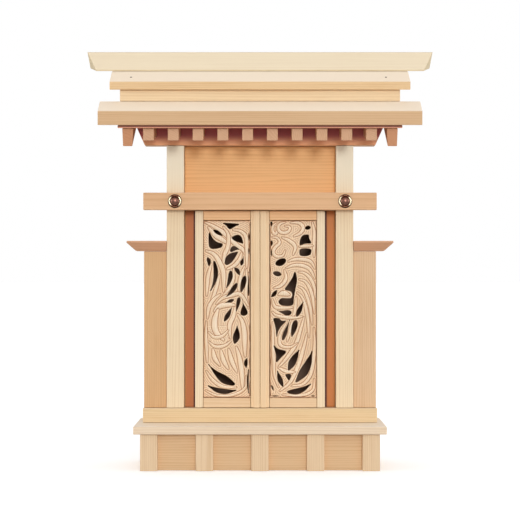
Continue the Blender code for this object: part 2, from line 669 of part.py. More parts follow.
LEFT_STROKES = [
    (4.0, [(1.4, 162.0), (9.2, 158.2), (19.5, 151.5), (30.5, 141.0), (37.7, 135.2), (40.0, 125.6)]),
    (3.4, [(27.6, 154.8), (34.0, 153.8), (39.1, 149.0), (40.0, 138.3), (40.2, 120.0)]),
    (4.4, [(4.6, 157.2), (10.6, 150.3), (16.6, 146.3), (23.0, 142.0)]),
    (3.4, [(18.4, 157.5), (22.8, 150.5), (22.6, 139.5), (19.5, 132.0), (17.5, 118.2)]),
    (4.2, [(2.4, 135.4), (9.3, 132.6), (14.6, 125.6), (18.3, 115.3), (18.6, 98.0)]),
    (3.2, [(7.4, 123.6), (4.4, 113.4), (3.4, 104.3), (2.8, 94.3)]),
    (3.0, [(14.8, 113.5), (12.6, 104.3), (9.4, 94.0), (6.4, 86.8)]),
    (3.2, [(35.4, 133.8), (33.2, 127.3), (28.5, 121.9), (21.6, 118.6)]),
    (2.8, [(27.9, 119.4), (27.6, 109.7), (24.0, 101.0), (17.6, 93.4)]),
    (3.0, [(37.9, 121.0), (35.4, 114.5), (33.2, 105.3), (32.6, 96.1)]),
    (2.8, [(39.6, 118.2), (40.2, 104.3), (39.2, 95.2), (41.6, 82.3)]),
    (3.4, [(11.9, 86.5), (18.4, 92.2), (25.8, 94.3), (33.8, 95.2), (41.8, 84.3)]),
    (4.8, [(10.1, 79.6), (15.0, 84.0), (21.4, 85.6), (29.0, 85.2)]),
    (3.0, [(3.7, 73.1), (5.1, 83.3), (9.6, 90.6), (15.6, 95.4)]),
    (5.4, [(13.4, 81.6), (10.4, 71.4), (11.4, 61.2), (18.6, 52.9)]),
    (3.8, [(29.2, 83.3), (28.0, 75.9), (24.2, 66.6), (24.8, 54.7)]),
    (4.4, [(31.8, 76.7), (35.8, 70.4), (37.9, 60.2), (38.2, 48.2), (38.6, 38.1)]),
    (2.8, [(2.4, 70.1), (2.2, 56.4), (2.8, 42.8), (3.4, 32.6)]),
    (2.8, [(4.7, 60.3), (10.1, 55.6), (17.5, 56.8), (23.0, 62.0)]),
    (2.8, [(4.7, 51.5), (11.0, 46.9), (19.3, 47.8), (25.8, 52.4)]),
    (3.8, [(8.6, 44.6), (10.4, 36.4), (15.0, 29.6)]),
    (3.8, [(16.0, 43.7), (18.4, 34.6), (22.9, 26.4)]),
    (3.8, [(23.3, 44.6), (26.2, 33.6), (31.0, 23.4)]),
    (4.4, [(30.4, 46.5), (33.6, 35.4), (35.6, 22.5), (36.2, 7.7)]),
    (2.8, [(2.6, 24.4), (8.8, 15.8), (18.4, 9.8), (30.4, 9.4)]),
    (2.4, [(2.0, 6.4), (12.0, 1.9), (26.0, 1.9), (38.6, 8.8), (39.6, 20.0)]),
]

# Right panel: cloud scrolls above, a wing fans out at the right, and tail plumes loop down
RIGHT_OPENINGS = [
    leaf((1.4, 163.0), (1.6, 158.2), 1.9, bow=0.4, fullest=0.35),
    leaf((33.1, 156.6), (38.3, 157.8), 3.6, blunt=0.5),
    soft_corners([(31.0, 150.4), (36.6, 150.9), (37.0, 147.0), (39.4, 142.6), (33.0, 142.4), (27.9, 140.6),
                  (28.4, 146.2)]),
    soft_corners([(28.0, 137.8), (38.9, 137.8), (38.6, 132.4), (33.6, 130.6), (28.0, 131.4)]),
    leaf((1.7, 145.2), (1.6, 140.0), 2.0, bow=0.4, fullest=0.3),
    leaf((5.6, 123.2), (15.2, 127.6), 6.4, bow=-0.3, blunt=0.5),
    leaf((3.4, 115.4), (11.0, 113.6), 4.4, blunt=0.5),
    soft_corners([(23.8, 117.4), (25.8, 109.0), (24.0, 99.8), (22.8, 92.5), (21.8, 84.8), (10.7, 85.0),
                  (8.0, 88.7), (11.0, 92.0), (19.8, 91.6), (21.4, 94.7), (20.0, 98.2), (13.6, 99.6),
                  (17.6, 105.2), (21.1, 110.6)]),
    leaf((6.8, 99.4), (1.6, 92.8), 3.6, bow=0.4),
    leaf((6.8, 80.6), (20.6, 78.2), 5.2, bow=-0.8, fullest=0.75, blunt=0.6),
    leaf((31.4, 88.4), (25.2, 74.8), 4.3, fullest=0.62, blunt=0.7),
    soft_corners([(3.2, 73.4), (9.2, 73.2), (11.2, 70.8), (15.9, 71.0), (10.2, 65.0), (7.9, 60.6),
                  (6.7, 54.8), (5.9, 62.0), (4.9, 67.6)]),
    leaf((18.9, 72.0), (12.2, 52.8), 3.8, fullest=0.72, blunt=0.7),
    leaf((24.8, 71.6), (20.6, 56.0), 5.2, fullest=0.36, blunt=0.7),
    soft_corners([(3.4, 49.0), (7.6, 44.8), (16.4, 42.6), (10.3, 36.2), (6.0, 31.6), (6.0, 39.9)]),
    leaf((27.6, 44.0), (17.6, 24.8), 6.8, bow=-0.3, fullest=0.58),
    leaf((39.6, 43.0), (24.4, 14.0), 8.2, bow=2.4, fullest=0.6),
    leaf((7.4, 24.6), (12.6, 9.8), 4.5, bow=-0.5, fullest=0.58),
    soft_corners([(14.2, 21.4), (20.6, 21.4), (18.4, 15.2), (16.6, 17.2)]),
    leaf((16.2, 5.0), (38.4, 12.4), 5.6, bow=-2.7, fullest=0.4),
    leaf((1.6, 1.2), (8.8, 1.2), 1.0),
    leaf((38.2, 1.2), (42.6, 1.2), 1.0),
    leaf((1.6, 137.4), (1.8, 130.4), 1.2),
    leaf((1.6, 11.6), (3.8, 6.0), 1.5),
]

RIGHT_STROKES = [
    (2.4, [(6.2, 161.4), (2.9, 158.2), (2.8, 153.6), (5.2, 151.0), (7.1, 154.1), (5.4, 157.3)]),
    (2.8, [(14.4, 162.0), (9.0, 160.0), (8.0, 155.5), (11.4, 152.3), (17.2, 153.2), (18.6, 157.4),
           (14.4, 158.4)]),
    (3.0, [(19.6, 161.4), (27.3, 161.2), (31.0, 157.2), (28.4, 151.9), (22.6, 149.0)]),
    (3.0, [(39.6, 161.8), (41.4, 153.2), (41.2, 141.1), (41.2, 130.1)]),
    (2.8, [(2.6, 148.1), (7.1, 147.2), (9.2, 143.1), (5.4, 139.0), (3.2, 134.4), (6.2, 130.4),
           (11.9, 131.0), (14.4, 135.7)]),
    (3.2, [(11.7, 147.7), (18.1, 144.9), (23.6, 139.4), (21.8, 132.0)]),
    (2.4, [(27.4, 139.3), (33.4, 139.8), (40.2, 140.2)]),
    (3.0, [(17.3, 125.6), (22.7, 127.4), (30.1, 127.6), (38.0, 125.5), (42.0, 119.1)]),
    (3.0, [(15.4, 119.5), (21.8, 121.9), (30.1, 121.9), (37.4, 118.2), (41.8, 109.9)]),
    (2.8, [(27.0, 115.9), (31.9, 115.0), (37.4, 110.4), (41.4, 101.7), (42.0, 90.6)]),
    (2.8, [(27.6, 109.0), (32.8, 107.2), (37.4, 100.7), (40.2, 90.6), (41.4, 77.7)]),
    (2.8, [(27.0, 102.4), (31.2, 99.8), (34.9, 92.5), (37.9, 81.4), (39.3, 67.6)]),
    (2.8, [(25.6, 96.8), (29.8, 93.0), (33.2, 84.3), (35.6, 70.4), (36.5, 55.7)]),
    (2.6, [(24.6, 92.6), (23.8, 84.3), (22.4, 76.5), (18.8, 73.7)]),
    (3.0, [(13.8, 117.7), (15.0, 109.8), (10.4, 103.4), (3.8, 101.0)]),
    (4.6, [(8.4, 94.9), (12.8, 96.2), (18.2, 94.8)]),
    (2.8, [(2.5, 90.8), (5.2, 83.7), (12.6, 82.8), (21.4, 82.9)]),
    (2.8, [(2.4, 79.0), (5.8, 76.0), (13.6, 74.2), (21.8, 73.6), (30.1, 74.5)]),
    (3.2, [(31.9, 74.1), (28.2, 61.0), (24.3, 49.4), (15.9, 36.6), (8.0, 27.6)]),
    (3.4, [(34.7, 59.4), (31.9, 47.4), (27.8, 33.4), (24.2, 24.3), (18.6, 13.8), (9.6, 6.2)]),
    (3.0, [(23.4, 23.5), (15.6, 24.2), (8.6, 27.4)]),
    (3.2, [(41.1, 64.0), (41.8, 49.2), (40.6, 34.4), (37.6, 20.5), (30.8, 12.4), (20.6, 10.6)]),
    (2.8, [(3.0, 69.4), (2.9, 57.4), (3.0, 46.5), (3.7, 33.6), (4.4, 20.6), (8.2, 9.5)]),
    (2.6, [(16.3, 70.0), (11.4, 62.0), (8.9, 53.7), (10.8, 47.8), (19.1, 46.5), (25.5, 50.1)]),
    (2.4, [(21.0, 71.4), (18.6, 61.1), (16.3, 51.9)]),
    (2.4, [(41.4, 17.0), (40.0, 6.8), (30.4, 2.2), (12.0, 2.4)]),
]


def drawn_extent():
    """Lowest and highest corner that the openings of the two panels reach, as drawn."""
    corners = [corner for outline in LEFT_OPENINGS + RIGHT_OPENINGS for corner in outline]
    low = Vector([min(corner[axis] for corner in corners) for axis in (0, 1)])
    high = Vector([max(corner[axis] for corner in corners) for axis in (0, 1)])
    return low, high


def on_panel(area, point):
    """World X and Z of a drawn point, inside the plain border of a panel."""
    low, high = drawn_extent()
    placed = []
    for axis, (start, end) in enumerate(area):
        share = (point[axis] - low[axis]) / (high[axis] - low[axis])
        placed.append(start + CARVING_BORDER + share * (end - start - 2 * CARVING_BORDER))
    return placed


def curve_mesh(curve, name):
    """The evaluated mesh of a curve drawn in world X and Z, closed and stood upright."""
    guide = bpy.data.objects.new(name, curve)
    CUTTERS.objects.link(guide)
    bpy.context.view_layer.update()
    evaluated = guide.evaluated_get(bpy.context.evaluated_depsgraph_get())
    mesh = bpy.data.meshes.new_from_object(evaluated)
    bpy.data.objects.remove(guide)
    bm = bmesh.new()
    bm.from_mesh(mesh)
    bmesh.ops.remove_doubles(bm, verts=bm.verts, dist=0.00001)
    bm.to_mesh(mesh)
    bm.free()
    return mesh


def stand_up(mesh, middle, flatness=1.0):
    """Turn a mesh drawn flat in XY so that its Y runs up, and centre it on its own origin."""
    for vertex in mesh.vertices:
        x, up, thickness = vertex.co
        vertex.co = (x - middle.x, -thickness * flatness, up - middle.z)


def build_carved_panel(side, hinge, openings, strokes):
    """A pierced plate with raised feathers and scrolls."""
    label = side_name(side)
    area = panel_area(side)
    x, z = area
    face = COLUMN_FRONT - PANEL_FACE_SETBACK
    middle = Vector((sum(x) / 2, y_at(face - PANEL_THICKNESS / 2), sum(z) / 2))

    plate = bpy.data.curves.new(f"plate_{label}", "CURVE")
    plate.dimensions = "2D"
    plate.fill_mode = "BOTH"
    plate.extrude = PANEL_THICKNESS / 2
    frame = [(x[0], z[0]), (x[1], z[0]), (x[1], z[1]), (x[0], z[1])]
    for outline in [frame] + [[on_panel(area, corner) for corner in opening] for opening in openings]:
        spline = plate.splines.new("POLY")
        spline.points.add(len(outline) - 1)
        for point, corner in zip(spline.points, outline):
            point.co = (*corner, 0.0, 1.0)
        spline.use_cyclic_u = True
    mesh = curve_mesh(plate, f"plate_{label}")
    stand_up(mesh, middle)
    panel = add_part(f"carved_panel_{label}", mesh, WARM_WOOD)
    hang(panel, hinge, middle)

    relief = bpy.data.curves.new(f"relief_{label}", "CURVE")
    relief.dimensions = "3D"
    relief.bevel_depth = 1.0 * MM
    relief.bevel_resolution = 1
    relief.use_fill_caps = True
    for width, points in strokes:
        route = smooth_route(points)
        spline = relief.splines.new("POLY")
        spline.points.add(len(route) - 1)
        for index, (point, corner) in enumerate(zip(spline.points, route)):
            share = index / (len(route) - 1)
            point.co = (*on_panel(area, corner), 0.0, 1.0)
            point.radius = width / 2 * (RELIEF_TIP + (1 - RELIEF_TIP) * math.sin(math.pi * share))
    ridges = curve_mesh(relief, f"relief_{label}")
    stand_up(ridges, middle, RELIEF_FLATNESS)
    raised = add_cutter(f"relief_{label}", ridges)
    raised.location = (middle.x, y_at(face), middle.z)
    boolean(panel, raised, "UNION", self_crossing=True)


def hang(part, hinge, place):
    """Parent a leaf's piece to its hinge and leave it at its world place."""
    part.parent = hinge
    part.location = Vector(place) - hinge.location


def build_meeting_stile(side, hinge):
    """The inner stile: its raised half of the meeting strip stands along its inner edge."""
    label = side_name(side)
    outer = DOOR_INNER + MEETING_STILE_WIDTH
    raised = COLUMN_FRONT + MEETING_STRIP_RISE
    strip_edge = DOOR_INNER + MEETING_STRIP_HALF_WIDTH
    profile = [
        (DOOR_INNER, DOOR_BACK), (outer, DOOR_BACK), (outer, COLUMN_FRONT),
        (strip_edge, COLUMN_FRONT), (strip_edge, raised), (DOOR_INNER, raised)]
    outline = bpy.data.curves.new(f"meeting_stile_{label}", "CURVE")
    outline.dimensions = "2D"
    outline.fill_mode = "BOTH"
    outline.extrude = DOOR_HEIGHT / 2
    spline = outline.splines.new("POLY")
    spline.points.add(len(profile) - 1)
    middle = Vector((
        side * (DOOR_INNER + outer) / 2, y_at((DOOR_BACK + COLUMN_FRONT) / 2), (DOOR_BOTTOM + DOOR_TOP) / 2))
    for point, (across, depth) in zip(spline.points, profile):
        point.co = (side * across - middle.x, y_at(depth) - middle.y, 0.0, 1.0)
    spline.use_cyclic_u = True
    stile = add_part(f"meeting_stile_{label}", curve_mesh(outline, f"meeting_stile_{label}"), PALE_WOOD)
    hang(stile, hinge, middle)
    ease_edges(stile)


def build_hinge_stile(side, hinge):
    """The outer stile, with a round pivot at each end."""
    label = side_name(side)
    span = mirrored(side, DOOR_OUTER - HINGE_STILE_WIDTH, DOOR_OUTER)
    stile = eased_board(
        f"hinge_stile_{label}", span, (DOOR_BACK, COLUMN_FRONT), (DOOR_BOTTOM, DOOR_TOP), PALE_WOOD)
    hang(stile, hinge, stile.location)
    for place, end in (("top", DOOR_TOP), ("bottom", DOOR_BOTTOM)):
        pin = rod(
            f"pivot_{label}_{place}", PIVOT_RADIUS, side * HINGE_X, HINGE_DEPTH,
            (end - PIVOT_LENGTH, end + PIVOT_LENGTH))
        boolean(stile, pin, "UNION")


def build_door(side, openings, strokes):
    """One leaf, hung on an empty that stands on its hinge axis."""
    label = side_name(side)
    hinge = bpy.data.objects.new(f"door_{label}_hinge", None)
    PARTS.objects.link(hinge)
    hinge.location = (side * HINGE_X, y_at(HINGE_DEPTH), (DOOR_BOTTOM + DOOR_TOP) / 2)

    build_hinge_stile(side, hinge)
    build_meeting_stile(side, hinge)
    rails = {"top_rail": (DOOR_TOP - TOP_RAIL_HEIGHT, DOOR_TOP),
             "bottom_rail": (DOOR_BOTTOM, DOOR_BOTTOM + BOTTOM_RAIL_HEIGHT)}
    for name, height in rails.items():
        rail = eased_board(
            f"{name}_{label}", between_stiles(side), (DOOR_BACK, COLUMN_FRONT), height, PALE_WOOD)
        hang(rail, hinge, rail.location)
    build_carved_panel(side, hinge, openings, strokes)


clear_scene()
PARTS = make_collection("kamidana")
CUTTERS = make_collection("cutters")

build_base()
build_plinth()
build_body()
build_tie_beam()
build_eaves()
build_roof()
for wing_side in (-1, 1):
    build_wing(wing_side)
build_door(-1, LEFT_OPENINGS, LEFT_STROKES)
build_door(1, RIGHT_OPENINGS, RIGHT_STROKES)
bpy.context.view_layer.update()
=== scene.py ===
import math

import bpy
import numpy as np
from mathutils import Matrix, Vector
from mathutils.geometry import delaunay_2d_cdt
from mathutils.kdtree import KDTree


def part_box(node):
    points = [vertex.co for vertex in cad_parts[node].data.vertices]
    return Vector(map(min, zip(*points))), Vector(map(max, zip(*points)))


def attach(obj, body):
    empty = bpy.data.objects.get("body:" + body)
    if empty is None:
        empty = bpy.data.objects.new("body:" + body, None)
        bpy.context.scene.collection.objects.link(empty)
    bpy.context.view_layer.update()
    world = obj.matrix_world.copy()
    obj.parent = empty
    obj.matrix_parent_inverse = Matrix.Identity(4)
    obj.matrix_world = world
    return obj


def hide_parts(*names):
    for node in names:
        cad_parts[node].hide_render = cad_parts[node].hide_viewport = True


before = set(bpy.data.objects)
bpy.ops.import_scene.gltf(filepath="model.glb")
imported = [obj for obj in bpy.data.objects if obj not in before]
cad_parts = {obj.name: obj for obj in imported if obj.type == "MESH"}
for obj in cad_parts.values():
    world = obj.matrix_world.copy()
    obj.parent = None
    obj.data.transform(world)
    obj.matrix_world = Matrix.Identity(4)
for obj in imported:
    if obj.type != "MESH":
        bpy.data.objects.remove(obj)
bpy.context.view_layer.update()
MM = 0.001
AXES = "XYZ"
WHITE = (1.0, 1.0, 1.0, 1.0)
SHARP_ANGLE = math.radians(50)
# Sockets of a node that mixes two colours
MIX_SHARE, MIX_LOW, MIX_HIGH, MIX_RESULT = 0, 6, 7, 2


class Graph:
    """A short way to write the nodes of a material or a world."""

    def __init__(self, owner):
        owner.use_nodes = True
        self.owner = owner
        self.nodes = owner.node_tree.nodes
        self.links = owner.node_tree.links

    def feed(self, node, inputs):
        """Link a node's inputs to sockets, or set them to plain values."""
        for key, value in dict(inputs).items():
            if isinstance(value, bpy.types.NodeSocket):
                self.links.new(value, node.inputs[key])
            else:
                node.inputs[key].default_value = value
        return node

    def node(self, kind, inputs=(), **settings):
        made = self.nodes.new(kind)
        for key, value in settings.items():
            setattr(made, key, value)
        return self.feed(made, inputs)

    def coordinate(self, kind):
        return self.node("ShaderNodeTexCoord").outputs[kind]

    def axis(self, kind, axis):
        """One axis of a coordinate."""
        return self.node("ShaderNodeSeparateXYZ", {0: self.coordinate(kind)}).outputs[axis]

    def camera_ray(self):
        return self.node("ShaderNodeLightPath").outputs["Is Camera Ray"]

    def math(self, operation, *values):
        return self.node("ShaderNodeMath", enumerate(values), operation=operation).outputs[0]

    def vector(self, operation, *values):
        return self.node("ShaderNodeVectorMath", enumerate(values), operation=operation).outputs[0]

    def length(self, first, second):
        """Length of the vector with these two parts."""
        squares = [self.math("POWER", value, 2.0) for value in (first, second)]
        return self.math("SQRT", self.math("ADD", *squares))

    def swing(self, noise, share):
        """A noise's swing about its middle, times a share."""
        return self.math("MULTIPLY", self.math("SUBTRACT", noise, 0.5), share)

    def mix(self, share, low, high):
        inputs = {MIX_SHARE: share, MIX_LOW: low, MIX_HIGH: high}
        return self.node("ShaderNodeMix", inputs, data_type="RGBA").outputs[MIX_RESULT]

    def smooth(self, value, low, high):
        """Smooth step from 0 at the low value to 1 at the high one."""
        inputs = {"Value": value, "From Min": low, "From Max": high}
        return self.node("ShaderNodeMapRange", inputs, interpolation_type="SMOOTHSTEP").outputs["Result"]

    def noise(self, vector, scale, detail, roughness):
        inputs = {"Vector": vector, "Scale": scale, "Detail": detail, "Roughness": roughness}
        return self.node("ShaderNodeTexNoise", inputs).outputs["Fac"]


def new_material(name):
    """A new material's graph and its shader."""
    graph = Graph(bpy.data.materials.new(name))
    return graph, graph.nodes["Principled BSDF"]


def add(name, data):
    """A new object in the scene."""
    made = bpy.data.objects.new(name, data)
    bpy.context.scene.collection.objects.link(made)
    return made


def smooth_shading(mesh):
    """Round shading, except over sharp edges."""
    mesh.shade_smooth()
    mesh.set_sharp_from_angle(angle=SHARP_ANGLE)


# Camera
PHOTO_SIDE = 520
FOCAL_PIXELS = 1620
HORIZON_PIXEL = 279
SENSOR = 36.0
CAMERA_HEIGHT = 0.1728
CAMERA_Y = -1.498
VIEW_END = 100


def make_camera():
    data = bpy.data.cameras.new("camera")
    data.sensor_width = SENSOR
    data.lens = FOCAL_PIXELS * SENSOR / PHOTO_SIDE
    data.shift_y = (HORIZON_PIXEL - PHOTO_SIDE / 2) / PHOTO_SIDE
    data.clip_end = VIEW_END
    camera = add("camera", data)
    camera.location = (0.0, CAMERA_Y, CAMERA_HEIGHT)
    camera.rotation_euler = (math.radians(90), 0, 0)
    bpy.context.scene.camera = camera


# Light
SKY_SIDE = 0.6
SKY_TOP = 0.95
BACKDROP = 1.0
# Each lamp's name, its elevation and azimuth in degrees, its strength, and its breadth in degrees
SUNS = (
    ("key", 12, 6, 0.97, 14),
    ("fill_left", 4, -84, 1.1, 30),
    ("fill_right", 4, 84, 1.1, 30),
)


def sun(name, elevation, azimuth, strength, breadth):
    """A far soft light. Azimuth 0 shines from the camera's side, positive from its right."""
    data = bpy.data.lights.new(name, "SUN")
    data.energy = strength
    data.angle = math.radians(breadth)
    light = add(name, data)
    up, round_z = math.radians(elevation), math.radians(azimuth)
    towards = Vector((math.sin(round_z) * math.cos(up), -math.cos(round_z) * math.cos(up), math.sin(up)))
    light.rotation_euler = (-towards).to_track_quat("-Z", "Y").to_euler()


def make_light():
    """Three lamps, and a soft sky that is brighter above and shows as plain white."""
    world = bpy.data.worlds.new("studio")
    bpy.context.scene.world = world
    graph = Graph(world)
    height = {"Value": graph.axis("Generated", "Z"), "To Min": SKY_SIDE, "To Max": SKY_TOP}
    strength = graph.node("ShaderNodeMapRange", height).outputs["Result"]
    sky = graph.feed(graph.nodes["Background"], {"Color": WHITE, "Strength": strength})
    backdrop = graph.node("ShaderNodeBackground", {"Color": WHITE, "Strength": BACKDROP})
    either = graph.node("ShaderNodeMixShader",
                        {0: graph.camera_ray(), 1: sky.outputs[0], 2: backdrop.outputs[0]})
    graph.feed(graph.nodes["World Output"], {"Surface": either.outputs[0]})
    for settings in SUNS:
        sun(*settings)


# Floor
FLOOR_REACH = 60
FLOOR_BOUNCE = (0.5, 0.5, 0.5, 1)
FLOOR_SEEN = (0.97, 0.97, 0.97, 1)
FLOOR_GLOW = 0.2
FLOOR_ROUGHNESS = 0.9
FLOOR_SPECULAR = 0.0


def make_floor():
    """A wide pale floor. It sends less light back than it shows, so the undersides stay in shade."""
    graph, shader = new_material("floor")
    seen = graph.camera_ray()
    graph.feed(shader, {
        "Base Color": graph.mix(seen, FLOOR_BOUNCE, FLOOR_SEEN),
        "Emission Color": WHITE,
        "Emission Strength": graph.math("MULTIPLY", seen, FLOOR_GLOW),
        "Roughness": FLOOR_ROUGHNESS,
        "Specular IOR Level": FLOOR_SPECULAR,
    })
    mesh = bpy.data.meshes.new("floor")
    corners = [(x * FLOOR_REACH, y * FLOOR_REACH, 0) for x, y in ((-1, -1), (1, -1), (1, 1), (-1, 1))]
    mesh.from_pydata(corners, [], [(0, 1, 2, 3)])
    mesh.materials.append(graph.owner)
    floor = add("floor", mesh)


# Wood
# Growth rings: how far off the pith lies across the grain, the rings' pitch, how far noise warps them, and
# where in a ring the late wood sets in and ends
PITH = (0.19, 0.07)
RING_PITCH = 1.9 * MM
RING_WARP = 5.0
LATE_WOOD = (0.35, 0.93)
RING_END = (0.95, 1.0)
# Noises: scale per metre, detail and roughness. They are drawn out along the grain
ALONG_GRAIN = 0.045
WARP = (55.0, 2.0, 0.5)
FIBRE = (1500.0, 4.0, 0.65)
STREAK = (260.0, 3.0, 0.5)
CLOUD = (14.0, 2.0, 0.5)
# How much of the dark colour each brings
LATE_DARK = 0.4
FIBRE_DARK = 0.55
STREAK_DARK = 0.8
CLOUD_DARK = 0.5
# Surface
ROUGHNESS = 0.55
ROUGHNESS_SWING = 0.25
SPECULAR = 0.35
FIBRE_HEIGHT = 0.6
LATE_HEIGHT = 0.5
BUMP_STRENGTH = 0.25
BUMP_DISTANCE = 0.08 * MM
# Parts of the normal between which a face comes to count as turned up, or to the front
UPWARD = (0.2, 0.8)
FORWARD = (-0.5, -0.9)
# Painted light that pales upward faces, then the carving's painted shade in its grooves and painted
# highlight on its ridges, with the paleness between which each sets in
UPWARD_PAINTED_LIGHT = (0.845, 0.73, 0.59, 1)
GROOVE_PAINTED_SHADE = (0.40, 0.17, 0.08, 1)
GROOVE_RANGE = (0.5, 0.0)
RIDGE_PAINTED_HIGHLIGHT = (0.95, 0.84, 0.68, 1)
RIDGE_RANGE = (0.55, 1.0)


def wood(name, along, light, dark, offset, top_light_share=0.0, carved=False, painted_marks=()):
    """Planed cypress with straight grain along one axis: rings round a far pith, fine fibres and pores."""
    graph, shader = new_material(name)
    place = graph.vector("ADD", graph.coordinate("Object"), offset)
    stretch = tuple(ALONG_GRAIN if axis == along else 1.0 for axis in AXES)
    stretched = graph.vector("MULTIPLY", place, stretch)
    warp = graph.noise(stretched, *WARP)
    fibre = graph.noise(stretched, *FIBRE)
    streak = graph.noise(stretched, *STREAK)
    cloud = graph.noise(place, *CLOUD)

    split = graph.node("ShaderNodeSeparateXYZ", {0: place}).outputs
    from_pith = [graph.math("ADD", split[axis], far) for axis, far in zip(AXES.replace(along, ""), PITH)]
    rings = graph.math("DIVIDE", graph.length(*from_pith), RING_PITCH)
    ring = graph.math("FRACT", graph.math("ADD", rings, graph.math("MULTIPLY", warp, RING_WARP)))
    late = graph.math("MULTIPLY", graph.smooth(ring, *LATE_WOOD),
                      graph.math("SUBTRACT", 1.0, graph.smooth(ring, *RING_END)))

    darkness = graph.math("MULTIPLY", late, LATE_DARK)
    for noise, share in ((fibre, FIBRE_DARK), (streak, STREAK_DARK), (cloud, CLOUD_DARK)):
        darkness = graph.math("ADD", darkness, graph.swing(noise, share))
    colour = graph.mix(darkness, light, dark)
    # Painted light: faces turned upwards are painted paler.
    if top_light_share:
        upward = graph.smooth(graph.axis("Normal", "Z"), *UPWARD)
        colour = graph.mix(graph.math("MULTIPLY", upward, top_light_share), colour, UPWARD_PAINTED_LIGHT)
    # Painted shade and painted light on the front faces, set in between two places along an axis.
    for axis, start, end, tone in painted_marks:
        forward = graph.smooth(graph.axis("Normal", "Y"), *FORWARD)
        reached = graph.smooth(graph.axis("Object", axis), start, end)
        colour = graph.mix(graph.math("MULTIPLY", forward, reached), colour, tone)
    # Painted shade in the carving's grooves and painted highlights on its ridges and rims.
    if carved:
        painted_shading = graph.node("ShaderNodeAttribute", attribute_name="painted_shading").outputs["Fac"]
        colour = graph.mix(graph.smooth(painted_shading, *GROOVE_RANGE), colour, GROOVE_PAINTED_SHADE)
        colour = graph.mix(graph.smooth(painted_shading, *RIDGE_RANGE), colour, RIDGE_PAINTED_HIGHLIGHT)

    height = graph.math("ADD", graph.math("MULTIPLY", fibre, FIBRE_HEIGHT),
                        graph.math("MULTIPLY", late, LATE_HEIGHT))
    bump = graph.node("ShaderNodeBump",
                      {"Strength": BUMP_STRENGTH, "Distance": BUMP_DISTANCE, "Height": height})
    graph.feed(shader, {
        "Base Color": colour,
        "Roughness": graph.math("ADD", ROUGHNESS, graph.swing(fibre, ROUGHNESS_SWING)),
        "Specular IOR Level": SPECULAR,
        "Normal": bump.outputs["Normal"],
    })
    return graph.owner


# Stems of the names of the boards whose grain runs up or backwards. In the others it runs sideways
GRAIN = {
    "Z": ("column", "side_wall", "back_panel", "jamb", "wing_left", "wing_right", "hinge_stile",
          "meeting_stile", "post"),
    "Y": ("rafter_0", "rafter_1", "bargeboard", "base_side"),
}
# First match wins: stem of the node's name, light colour, and how far painted light pales upward faces
TONES = (
    ("ridge_cap", (0.79, 0.65, 0.415), 0.4),
    ("upper_roof_board", (0.82, 0.56, 0.30), 0.85),
    ("eave_board", (0.70, 0.45, 0.245), 0.95),
    ("roof_riser", (0.855, 0.64, 0.39), 0.5),
    ("sheathing", (0.70, 0.44, 0.26), 0.0),
    ("rafter", (0.66, 0.38, 0.22), 0.0),
    ("bargeboard", (0.58, 0.265, 0.128), 0.0),
    ("eave_beam", (0.80, 0.48, 0.28), 0.0),
    # The upper panel sits back between the columns: its deep orange is partly painted warm shade of that
    # recess.
    ("upper_panel", (0.96, 0.555, 0.24), 0.0),
    ("tie_beam", (0.78, 0.47, 0.25), 0.4),
    ("back_panel", (0.74, 0.54, 0.34), 0.0),
    ("side_wall", (0.62, 0.43, 0.27), 0.0),
    ("column", (0.87, 0.69, 0.46), 0.0),
    # The jambs' deep orange is partly painted warm shade of their recess, and the left is painted darker
    # than the right.
    ("jamb_left", (0.66, 0.33, 0.12), 0.0),
    ("jamb_right", (0.74, 0.36, 0.13), 0.0),
    ("lintel", (0.70, 0.44, 0.24), 0.0),
    ("hinge_stile", (0.88, 0.71, 0.49), 0.0),
    ("meeting_stile", (0.86, 0.63, 0.39), 0.0),
    ("top_rail", (0.86, 0.52, 0.265), 0.0),
    ("bottom_rail", (0.80, 0.57, 0.35), 0.0),
    ("carved_panel", (0.95, 0.72, 0.49), 0.0),
    ("wing_cap", (0.76, 0.415, 0.24), 0.4),
    # The left wing is painted darker than the right one: painted shade, as less light falls on it.
    ("wing_left", (0.71, 0.43, 0.21), 0.0),
    ("wing_right", (0.77, 0.52, 0.31), 0.0),
    ("plinth", (0.77, 0.57, 0.33), 0.4),
    ("base_board", (0.85, 0.67, 0.48), 1.0),
    ("post", (0.82, 0.60, 0.38), 0.0),
    ("", (0.81, 0.54, 0.30), 0.0),
)
# A board's dark colour as a share of its light one
DARKER = (0.80, 0.70, 0.58)
